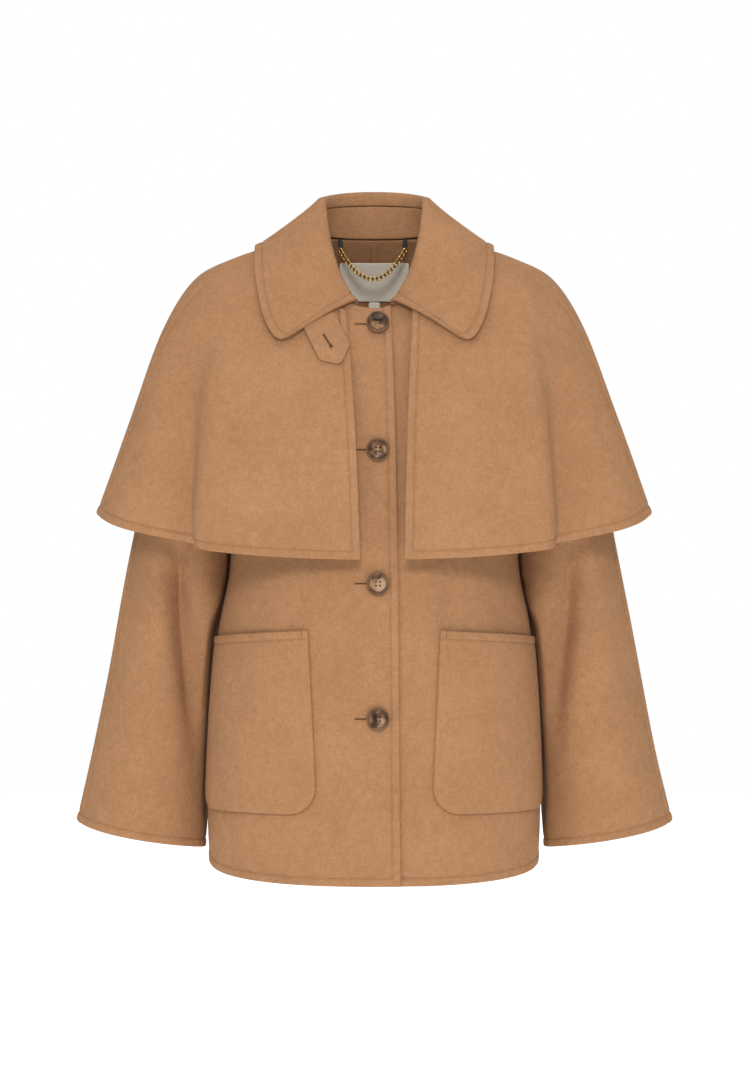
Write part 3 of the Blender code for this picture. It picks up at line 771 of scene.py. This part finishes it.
# Collar: a stand inside the neck, and a fall that rolls over it and lies on the cape
collar = {
    "standFoot": (0.0627, 0.0543, 0.0527, 0.0188, -0.0669, 0.0157, 1.3),
    "standTop": (0.0530, 0.0543, 0.0505, 0.044, -0.0663, 0.051, 1.3),
    "roll": (0.0575, 0.0593, 0.0555, 0.054, -0.0651, 0.064, 1.3), "rollRadius": 0.005,
    "rollAngles": (180, 150, 120, 90, 55), "rollGrows": math.radians(14), "lift": 0.0078,
    "settle": 0.0027,
    "settleOver": 1.2,  # columns
    "straight": (1.5, 2),  # first column and number of columns to the end
    "seamGap": 0.0008,
    "seamEdge": {"rise": 0.0008, "at": 0.0028, "width": 0.0024},
    "guess": (1.5, math.radians(55)), "rollEnd": 0.5,
    "front": [  # neck, x, z, drop
        (16, 0.103, -0.109, 6.0),
        (30, 0.1165, -0.088, 4.0),
        (48, 0.126, -0.055, 2.4),
        (66, 0.1305, -0.025, 1.6),
    ],
    "back": [  # neck, turn, place, drop
        (88, 90, 1.42, 1.3),
        (115, 118, 1.50, 1.3),
        (147, 149, 1.62, 1.3),
        (180, 180, 1.65, 1.3),
    ],
    "steps": (0.06, 0.15, 0.3, 0.45, 0.6, 0.75, 0.88, 1), "corner": 0.014, "columnWidth": 0.025,
    "fallLength": 0.095, "cloth": 0.0042, "standCloth": 0.003, "standSlack": (-0.0008, 0.0007),
    "samples": 281, "fallCell": 0.0055, "standCell": 0.006,
}
lastColumn = len(collar["front"]) + len(collar["back"]) - 1


def collarStations():
    front = np.array(collar["front"])
    place, turn = placeOn(plainCapePoint, front[:, 1], front[:, 2], *collar["guess"])
    found = np.stack([front[:, 0], np.degrees(turn), place, front[:, 3]], -1)
    return np.concatenate([found, np.array(collar["back"], float)])


def awayFromNeck(neck):
    return np.stack([np.sin(neck), -np.cos(neck), 0 * neck], -1)


def rollPoint(neck, degrees):
    angle = math.radians(degrees)
    out = awayFromNeck(neck) * math.cos(angle) + np.array([0, 0, math.sin(angle)])
    grown = ease((neck - math.radians(collar["front"][0][0])) / collar["rollGrows"])
    radius = collar["rollRadius"] * mix(collar["rollEnd"], 1, grown)
    return ringPoint(collar["roll"], neck) + out * radius[:, None]


def fallPoint(station, column, step):
    neck, edge = np.radians(station[:, 0]), np.radians(station[:, 1])
    place, turn = station[:, 2] * step, mix(neck, edge, step)
    straightFrom, straightOver = collar["straight"]
    straight = 1 - ease((column - straightFrom) / straightOver)
    target = mix(plainCapePoint(0 * neck, neck), plainCapePoint(station[:, 2], edge), step[:, None])
    foundPlace, foundTurn = placeOn(plainCapePoint, target[:, 0], target[:, 2], place, turn)
    usable = straight > 0
    place = np.where(usable, mix(place, foundPlace, straight), place)
    turn = np.where(usable, mix(turn, foundTurn, straight), turn)
    settled = ease((column - collar["settleOver"]) / collar["settleOver"])
    lift = collar["lift"] - collar["settle"] * settled * step
    base = plainCapePoint(place, turn) + normalOf(plainCapePoint, place, turn) * lift[:, None]
    first = plainCapePoint(0 * neck, neck) + normalOf(plainCapePoint, 0 * neck, neck) * collar["lift"]
    start = rollPoint(neck, collar["rollAngles"][-1])
    return base + (start - first) * ((1 - step) ** station[:, 3])[:, None]


def collarKeys():
    column = np.linspace(0, lastColumn, collar["samples"])
    station = tableRow(collarStations(), column)
    neck = np.radians(station[:, 0])
    corner = collar["corner"]
    fromEnd = np.minimum(column * collar["columnWidth"], corner)
    inset = corner - np.sqrt(corner ** 2 - (corner - fromEnd) ** 2)
    reach = 1 - inset / collar["fallLength"]
    keys = [ringPoint(collar["standTop"], neck) + np.array([0, 0, collar["seamGap"]])]
    keys += [rollPoint(neck, degrees) for degrees in collar["rollAngles"]]
    keys += [fallPoint(station, column, step * reach) for step in collar["steps"]]
    return np.stack(keys, 1), neck


fallKeys, fallNecks = collarKeys()


def collarPlace(u):
    # from the wearer's left end round the back to the right end
    return 1 - np.abs(2 * u - 1), np.where(u <= 0.5, 1.0, -1.0)


def toSide(points, side):
    return points * np.stack([side, np.ones_like(side), np.ones_like(side)], -1)


def fallPanel(u, v):
    column, side = collarPlace(u)
    spot = column * (len(fallKeys) - 1)
    index = np.minimum(spot.astype(int), len(fallKeys) - 2)
    share = (spot - index)[..., None, None]
    keys = fallKeys[index] * (1 - share) + fallKeys[index + 1] * share
    last = keys.shape[-2] - 1
    row = v * last
    knot = np.clip(np.floor(row), 0, last - 1).astype(int)
    near = [np.take_along_axis(keys, np.clip(knot + k, 0, last)[..., None, None], -2)[..., 0, :]
            for k in (-1, 0, 1, 2)]
    return toSide(curveThrough(*near, (row - knot)[..., None]), side)


def standPanel(u, v):
    column, side = collarPlace(u)
    neck = np.interp(column, np.linspace(0, 1, len(fallNecks)), fallNecks)
    foot, top = ringPoint(collar["standFoot"], neck), ringPoint(collar["standTop"], neck)
    slack = mix(*collar["standSlack"], v)
    point = mix(foot, top, v[..., None]) + np.array([0, 0, 1]) * slack[..., None]
    return toSide(point, side)


def rollRelief(points, u, v, marks):
    # the fall's edge stands out a little along its seam with the stand
    edge = collar["seamEdge"]
    return edge["rise"] * bell((marks["top"] - edge["at"]) / edge["width"])


makeSheet("collar_fall", fallPanel, upwards, ("left", "right", "bottom"), thickness=collar["cloth"],
          relief=rollRelief, cell=collar["fallCell"], held="folded")
makeSheet("collar_stand", standPanel, towardsAxis, (), thickness=collar["standCloth"],
          cell=collar["standCell"])


# Throat tab under the wearer's right collar end
tab = {
    "start": (-0.0585, -0.0850), "axis": (0.436, -0.900), "across": (0.900, 0.436),
    "outline": [(-0.005, 0.0190), (0.0360, 0.0188), (0.0375, 0.0176), (0.0495, 0.0030), (0.0503, 0.0008)],
    "lift": 0.0046, "cloth": 0.0040, "cell": 0.0018,
    "guess": (1.5, math.radians(30)),
}


def onCape(x, z, lift):
    guessPlace, guessTurn = tab["guess"]
    place, turn = placeOn(plainCapePoint, x, z, guessPlace, np.sign(np.mean(x)) * guessTurn)
    return plainCapePoint(place, turn) + normalOf(plainCapePoint, place, turn) * lift


def tabPanel(u, v):
    outline = np.array(tab["outline"])
    along = mix(outline[0, 0], outline[-1, 0], v)
    half = np.interp(along, outline[:, 0], outline[:, 1]) * (2 * u - 1)
    x, z = [tab["start"][k] + tab["axis"][k] * along + tab["across"][k] * half for k in (0, 1)]
    return onCape(x, z, tab["lift"])


makeSheet("collar_tab", tabPanel, fromAxis, (), thickness=tab["cloth"], cell=tab["cell"])


# Patch pockets, rounded at the lower corners and a little full
pocket = {
    "topInner": -0.416, "topOuter": -0.425, "bottom": -0.614, "innerTop": 0.0705, "innerBottom": 0.0610,
    "outerTurn": math.radians(84), "corner": 0.030, "puff": 0.003, "fullFrom": 0.1, "fullOver": 0.75,
    "gap": 0.0008, "cell": 0.006,
    "guess": (8.5, math.radians(25)),
}


def pocketPanel(u, v):
    cut = pocket
    step = 1 - v
    fromCorner = np.maximum(cut["corner"] - step * (cut["topInner"] - cut["bottom"]), 0)
    inset = cut["corner"] - np.sqrt(cut["corner"] ** 2 - fromCorner ** 2)
    innerX = mix(cut["innerBottom"], cut["innerTop"], step) + inset
    z = cut["bottom"] + step * (mix(cut["topInner"], cut["topOuter"], u) - cut["bottom"])
    place, first = placeOn(bodyPoint, innerX, z, *cut["guess"])
    last = cut["outerTurn"] - inset / tableRow(body["rings"], place)[..., 1]
    turn = mix(first, last, u)
    puff = cut["puff"] * np.sin(math.pi * u) * np.sin(math.pi * (cut["fullFrom"] + cut["fullOver"] * step))
    lift = cut["gap"] + body["cloth"] + puff
    return bodyPoint(place, turn) + normalOf(bodyPoint, place, turn) * lift[..., None]


for node, panel in (("pocket_left", pocketPanel), ("pocket_right", mirrored(pocketPanel))):
    makeSheet(node, panel, fromAxis, ("top",), swing=body["swing"], cell=pocket["cell"])
print("collar, tab and pockets laid")


# Horn buttons: turned, dished and drilled with four holes
button = {
    "x": 0.0039, "heights": (-0.085, -0.222, -0.366, -0.511), "gap": 0.0016,
    "section": [  # radius, height, from the back over the rim to the dish
        (0.0092, 0.0), (0.0114, 0.0003), (0.0124, 0.0011), (0.0126, 0.0022), (0.0122, 0.0031),
        (0.0113, 0.0036), (0.0104, 0.0035), (0.0094, 0.0028), (0.0082, 0.0025),
    ],
    "sides": 48, "holeRadius": 0.00105, "holeOffset": 0.0021, "holeSides": 12, "threadHeight": 0.0014,
    "upright": 0.5, "bevel": 0.0002, "guess": (5, 0.02),
}
horn = {
    "swirl": (78, 2.0, 0.4, 0.5),  # scale, detail, roughness, distortion
    "stops": [
        (0.37, (0.030, 0.014, 0.008)),
        (0.45, (0.120, 0.056, 0.028)),
        (0.53, (0.270, 0.148, 0.074)),
        (0.66, (0.400, 0.255, 0.145)),
    ],
    "rings": [  # from, to, share, colour: painted shade in the groove at the dish's edge, and a painted highlight on the raised rim
        (0.62, 0.70, 0.7, (0.055, 0.025, 0.013, 1)),
        (0.84, 0.93, 0.65, (0.215, 0.108, 0.048, 1)),
    ],
    "grain": (900, 3), "roughness": (0.30, 0.18), "bump": (0.08, 0.0003),
}


def makeHorn(look):
    material, shader, start = newMaterial("horn", {"Specular IOR Level": 0.18})
    place = start.coords("Object")
    swirl = start.noise(place, *look["swirl"])
    colour = start.add("ShaderNodeValToRGB", {"stops": look["stops"]}, {"Fac": swirl})
    # rings painted by distance from the middle: shade in the dish's groove, highlight on the rim
    away = start.attribute("fromMiddle")
    for first, last, share, tint in look["rings"]:
        colour = start.blend(away.between(first, last) * share, colour, tint)
    plug(colour, shader, "Base Color")
    grain = start.noise(place, *look["grain"])
    plug(look["roughness"][0] + grain * look["roughness"][1], shader, "Roughness")
    plugBump(grain, shader, *look["bump"])
    return material


hornFinish = makeHorn(horn)


def circle(bm, radius, height, sides, middle=(0, 0)):
    place = Matrix.Translation((*middle, height))
    made = bmesh.ops.create_circle(bm, segments=sides, radius=radius, matrix=place)
    return [edge for edge in bm.edges if all(v in made["verts"] for v in edge.verts)]


def holeMiddles(look):
    return [(across * look["holeOffset"], up * look["holeOffset"]) for across in (-1, 1) for up in (-1, 1)]


def makeButton(number, z, look):
    bm = bmesh.new()
    rings = [circle(bm, radius, height, look["sides"]) for radius, height in look["section"]]
    for lower, upper in zip(rings, rings[1:]):
        bmesh.ops.bridge_loops(bm, edges=lower + upper)
    back, face = look["section"][0][1], look["section"][-1][1]
    backEdges, faceEdges = list(rings[0]), list(rings[-1])
    for middle in holeMiddles(look):
        lower = circle(bm, look["holeRadius"], back, look["holeSides"], middle)
        upper = circle(bm, look["holeRadius"], face, look["holeSides"], middle)
        backEdges += lower
        faceEdges += upper
        bmesh.ops.bridge_loops(bm, edges=lower + upper)
    for edges in (backEdges, faceEdges):
        bmesh.ops.triangle_fill(bm, use_beauty=True, edges=edges)
    bmesh.ops.recalc_face_normals(bm, faces=bm.faces)
    rim = max(radius for radius, height in look["section"])
    fromMiddle = bm.verts.layers.float.new("fromMiddle")
    for vert in bm.verts:
        vert[fromMiddle] = math.hypot(vert.co.x, vert.co.y) / rim
    place, turn = placeOn(bodyPoint, np.array([look["x"]]), np.array([z]), *look["guess"])
    seatNormal = Vector(normalOf(bodyPoint, place, turn)[0])
    out = seatNormal.lerp(Vector((0, -1, 0)), look["upright"]).normalized()
    seatPoint = bodyPoint(place, turn)
    lift = look["gap"] + float(sway(seatPoint, body["swing"])[0]) + rim * out.cross(seatNormal).length
    middle = Vector(seatPoint[0]) + out * lift
    right = Vector((0, 0, 1)).cross(out).normalized()
    turnTo = Matrix((right, out.cross(right), out)).transposed().to_4x4()
    buttonPlace = Matrix.Translation(middle) @ turnTo
    bmesh.ops.transform(bm, verts=bm.verts, matrix=buttonPlace)
    piece = addObject("button_%d_horn" % number, bm, hornFinish)
    bevel = piece.modifiers.new("edges", "BEVEL")
    bevel.width, bevel.segments, bevel.limit_method = look["bevel"], 2, "ANGLE"
    seat(piece, "horn", "button_%d" % number)
    return buttonPlace


buttonPlaces = [makeButton(number, z, button) for number, z in enumerate(button["heights"], start=1)]
print("buttons made")


# Woven tape of the labels and the hanger's loops
tape = {
    "finish": {"Roughness": 0.7, "Sheen Weight": 0.1},
    "bump": (0.3, 0.0003), "shadeShare": 0.5,
    "cream": ((0.95, 0.88, 0.74, 1), (0.86, 0.77, 0.61, 1), 9000),  # light, shade, threads
    "black": ((0.012, 0.012, 0.012, 1), (0.03, 0.03, 0.03, 1), 7000),
}


def makeTape(name):
    light, shade, threads = tape[name]
    material, shader, start = newMaterial(name + "Tape", tape["finish"])
    flat = start.coords("UV")
    spots = [start.add("ShaderNodeSeparateXYZ", None, {"Vector": flat}, axis) for axis in "XY"]
    warp, weft = [(spot * threads).apply("SINE") for spot in spots]
    weave = warp * weft * 0.5 + 0.5
    plug(start.blend(weave * tape["shadeShare"], light, shade), shader, "Base Color")
    plugBump(weave, shader, *tape["bump"])
    return material


creamTape, blackTape = makeTape("cream"), makeTape("black")


# Neck label, size label and the tape over the centre back seam, on the inside of the back
label = {
    "strips": [  # node, half, top, bottom, cell
        ("neck_label", 0.0395, -0.0067, -0.0503, 0.004),
        ("size_label", 0.0066, -0.0507, -0.0657, 0.002),
    ],
    "gap": 0.002, "cloth": 0.0008, "guess": 1.5, "radius": 0.1,
}
backTape = {
    "strip": (0.0044, 0.0132, -0.075),  # half, top, bottom
    "gap": 0.0004, "cloth": 0.0009, "guess": 1.0, "radius": 0.1, "cell": 0.0022,
}


def insideBack(look, half, top, bottom):
    inward = body["cloth"] + look["gap"] + look["cloth"]

    def panel(u, v):
        x, z = mix(half, -half, u), mix(top, bottom, v)
        place, turn = placeOn(bodyPoint, x, z, look["guess"], math.pi - x / look["radius"])
        return bodyPoint(place, turn) - normalOf(bodyPoint, place, turn) * inward
    return panel


for node, half, top, bottom, cell in label["strips"]:
    makeSheet(node, insideBack(label, half, top, bottom), towardsAxis, thickness=label["cloth"],
              material=creamTape, slotName="label", cell=cell)
makeSheet("back_seam", insideBack(backTape, *backTape["strip"]), towardsAxis, thickness=backTape["cloth"],
          cell=backTape["cell"], held=None, replaced=False)


# Buttonholes and the tab's keyhole with painted shade in their slits, painted shade in the buttons' holes,
# and the pockets' corner stitches
sewing = {
    "holeFrom": -0.0205, "holeTo": 0.0020, "holeHalf": 0.00070, "threadRadius": 0.00042,
    "threadLift": 0.0002, "slitHalf": 0.00042, "slitLift": 0.0004,
    "keyhole": ((-0.0549, -0.0994), (-0.0459, -0.1133)), "keyholeEye": 0.0016, "eyeLength": 0.11,
    "loopPoints": 49, "slitSteps": 24, "tick": (0.0766, -0.4166, -0.4246), "tickPoints": 9,
    "tickPuff": 0.12, "tickRadius": 0.000546, "turnGuess": 6, "tubeFace": (0, -1.0, 0.2), "tubeSides": 8,
    "finish": {"Roughness": 0.9, "Specular IOR Level": 0.1},
    "grain": (2600, 2), "bump": (0.3, 0.0003), "thread": (0.255, 0.128, 0.058, 1),
    # near-black painted shade for the slits of the buttonholes and keyhole and for the inside of the buttons'
    # holes
    "gap": (0.020, 0.010, 0.006, 1),
}


def makePlain(name, colour):
    material, shader, start = newMaterial(name, {"Base Color": colour, **sewing["finish"]})
    plugBump(start.noise(start.coords("Object"), *sewing["grain"]), shader, *sewing["bump"])
    return material


threadFinish = makePlain("sewingThread", sewing["thread"])
holeShadeFinish = makePlain("holeShade", sewing["gap"])


bodyFrontSteps = np.linspace(0, body["hemRow"], 200)
bodyFrontLevels = tableRow(body["rings"], bodyFrontSteps)[:, 4]


def onBody(x, z, lift):
    guess = np.interp(-np.mean(z), -bodyFrontLevels, bodyFrontSteps)
    place, turn = placeOn(bodyPoint, x, z, guess, np.mean(x) * sewing["turnGuess"])
    point = bodyPoint(place, turn)
    return point + normalOf(bodyPoint, place, turn) * (lift + sway(point, body["swing"]))[..., None]


def makeThread(name, path, radius, closed):
    sides = sewing["tubeSides"]
    if closed:
        along = np.roll(path[:-1], -1, 0) - np.roll(path[:-1], 1, 0)
        along = np.concatenate([along, along[:1]])
    else:
        along = np.gradient(path, axis=0)
    along = unit(along)
    out = unit(np.cross(along, np.cross(np.array(sewing["tubeFace"]), along)))
    side = np.cross(along, out)
    bm = bmesh.new()
    bmesh.ops.create_grid(bm, x_segments=len(path) - 1, y_segments=sides, size=0.5)
    for vert in bm.verts:
        i, angle = round((vert.co.x + 0.5) * (len(path) - 1)), (vert.co.y + 0.5) * 2 * math.pi
        vert.co = path[i] + radius * (math.cos(angle) * out[i] + math.sin(angle) * side[i])
    bmesh.ops.remove_doubles(bm, verts=bm.verts, dist=1e-6)
    bmesh.ops.recalc_face_normals(bm, faces=bm.faces)
    seat(addObject(name, bm, threadFinish), "wool")


def makeHole(name, first, last, surface, eye=0.0):
    look = sewing
    first, last = np.array(first), np.array(last)
    along = (last - first) / np.linalg.norm(last - first)
    across = np.array([-along[1], along[0]])
    angle = np.linspace(0, 2 * math.pi, look["loopPoints"])[:, None]
    wide = np.where(np.cos(angle) >= 0, max(eye, look["holeHalf"]), look["holeHalf"])
    loop = np.where(np.cos(angle) >= 0, last, first) + wide * (np.cos(angle) * along + np.sin(angle) * across)
    path = surface(loop[:, 0], loop[:, 1], look["threadLift"])
    makeThread(name + "_thread", path, look["threadRadius"], True)
    # the slit: a near-black sheet of painted shade between the thread loops
    bm = bmesh.new()
    bmesh.ops.create_grid(bm, x_segments=look["slitSteps"], y_segments=2, size=0.5)
    share = np.array([vert.co.x + 0.5 for vert in bm.verts])[:, None]
    edge = np.array([vert.co.y * 2 for vert in bm.verts])[:, None]
    room = look["slitHalf"] + max(eye - look["slitHalf"], 0) * bell((share - 1) / look["eyeLength"])
    spots = mix(first, last, share) + across * edge * room
    for vert, point in zip(bm.verts, surface(spots[:, 0], spots[:, 1], look["slitLift"])):
        vert.co = point
    seat(addObject(name + "_gap", bm, holeShadeFinish), "wool")


for number, z in enumerate(button["heights"], start=1):
    makeHole("buttonhole_%d" % number, (sewing["holeFrom"], z), (sewing["holeTo"], z), onBody)
makeHole("tab_keyhole", *sewing["keyhole"], lambda x, z, lift: onCape(x, z, tab["lift"] + lift),
         sewing["keyholeEye"])


def makeButtonHoleShade(name, place, look):
    # a near-black disc of painted shade inside each of the four holes, seen at the bottom of each
    bm = bmesh.new()
    for x, y in holeMiddles(look):
        spot = place @ Matrix.Translation((x, y, look["threadHeight"]))
        bmesh.ops.create_circle(bm, cap_ends=True, segments=look["holeSides"], radius=look["holeRadius"],
                                matrix=spot)
    seat(addObject(name, bm, holeShadeFinish), "wool")


for number, place in enumerate(buttonPlaces, start=1):
    makeButtonHoleShade("button_%d_thread" % number, place, button)


def makeTick(name, side):
    x, top, bottom = sewing["tick"]
    z = np.linspace(top, bottom, sewing["tickPoints"])
    lift = pocket["gap"] + body["cloth"] + sewing["threadLift"] + pocket["puff"] * sewing["tickPuff"]
    makeThread(name, onBody(np.full(len(z), side * x), z, lift), sewing["tickRadius"], False)


makeTick("pocket_left_tick", 1)
makeTick("pocket_right_tick", -1)
print("sewn details made")


# Hanger: a curb chain hung between two black loops at the neck seam
hanger = {
    "ends": (-0.0377, 0.0340), "heights": (0.0152, 0.0098, 0.0044), "loopHalf": 0.0029,
    "loopCloth": 0.0012, "loopGap": 0.0008, "chainRadius": 0.0021, "low": -0.0293, "pitch": 0.0046,
    "wire": 0.00078, "linkLong": 0.0031, "linkWide": 0.0021, "twist": math.radians(30),
    "loopBow": (0.4, 0.6), "loopCell": 0.0015, "routePoints": 121, "routeStep": 0.001, "wireSides": 8,
    "linkSteps": 14,
}
brass = {
    "finish": {"Metallic": 1.0, "Roughness": 0.25},
    "tarnish": (600, 4), "tarnishRange": (0.35, 0.75), "light": (0.86, 0.57, 0.18, 1),
    "dark": (0.48, 0.28, 0.08, 1), "roughness": (0.18, 0.25),
}


def loopDepth(x):
    foot = collar["standFoot"]
    turn = math.pi - math.asin((abs(x) / foot[0]) ** (square / 2))
    return float(ringPoint(foot, turn)[1])


def makeLoop(name, x, look):
    y = loopDepth(abs(x) + look["loopHalf"]) - look["loopGap"]
    top, bottom = look["heights"][0], look["heights"][-1]

    def panel(u, v):
        across = mix(x - look["loopHalf"], x + look["loopHalf"], u)
        bow = look["loopBow"][0] + look["loopBow"][1] * np.sin(math.pi * v)
        return np.stack(np.broadcast_arrays(across, y - look["loopCloth"] * bow, mix(top, bottom, v)), -1)
    makeSheet(name, panel, towardsAxis, thickness=look["loopCloth"], material=blackTape, slotName="loop",
              cell=look["loopCell"], held=None)


def chainRoute(look):
    first, last = look["ends"]
    share = np.linspace(-1, 1, look["routePoints"])
    x = (first + last) / 2 + (last - first) / 2 * share
    y = mix(loopDepth(first), loopDepth(last), (share + 1) / 2) - look["loopGap"] - look["loopCloth"]
    z = look["low"] + (look["heights"][-1] - look["chainRadius"] - look["low"]) * share * share
    return np.stack([x, y, z], -1)


def makeBrass(look):
    material, shader, start = newMaterial("brass", look["finish"])
    tarnish = start.noise(start.coords("Object"), *look["tarnish"])
    colour = start.blend(tarnish.between(*look["tarnishRange"]), look["light"], look["dark"])
    plug(colour, shader, "Base Color")
    plug(look["roughness"][0] + tarnish * look["roughness"][1], shader, "Roughness")
    return material


def makeChain(look):
    route = chainRoute(look)
    steps = np.linalg.norm(np.diff(route, axis=0), axis=1)
    length = np.concatenate([[0], np.cumsum(steps)])
    count = int(length[-1] / look["pitch"])

    def routeAt(spot):
        return Vector([np.interp(spot, length, route[:, axis]) for axis in range(3)])

    upright = Matrix.Translation((1, 0, 0)) @ Matrix.Rotation(quarter, 4, "X")
    lean = Matrix.Rotation(look["twist"], 4, "X")
    bm = bmesh.new()
    for index in range(count + 1):
        spot = length[-1] * index / count
        along = (routeAt(spot + look["routeStep"]) - routeAt(spot - look["routeStep"])).normalized()
        flat = Vector((0, 1, 0)).cross(along).normalized()
        turnTo = Matrix((along, flat, along.cross(flat))).transposed().to_4x4()
        before = set(bm.verts)
        ring = bmesh.ops.create_circle(bm, segments=look["wireSides"], radius=look["wire"], matrix=upright)
        loop = [edge for edge in bm.edges if all(v in ring["verts"] for v in edge.verts)]
        bmesh.ops.spin(bm, geom=ring["verts"] + loop, cent=(0, 0, 0), axis=(0, 0, 1), angle=2 * math.pi,
                       steps=look["linkSteps"], use_merge=True)
        for vert in [vert for vert in bm.verts if vert not in before]:
            angle = math.atan2(vert.co.y, vert.co.x)
            over = math.hypot(vert.co.x, vert.co.y) - 1
            vert.co.x = (look["linkLong"] + over) * math.cos(angle)
            vert.co.y = (look["linkWide"] + over) * math.sin(angle)
            vert.co = Matrix.Translation(routeAt(spot)) @ turnTo @ lean @ vert.co
    bmesh.ops.recalc_face_normals(bm, faces=bm.faces)
    chain = addObject("hanger_chain_links", bm, makeBrass(brass))
    seat(chain, "chain", "hanger_chain")
    print("chain of", count + 1, "links,", round(float(length[-1]), 4), "m")


makeLoop("hanger_loop_right", hanger["ends"][0], hanger)
makeLoop("hanger_loop_left", hanger["ends"][1], hanger)
makeChain(hanger)
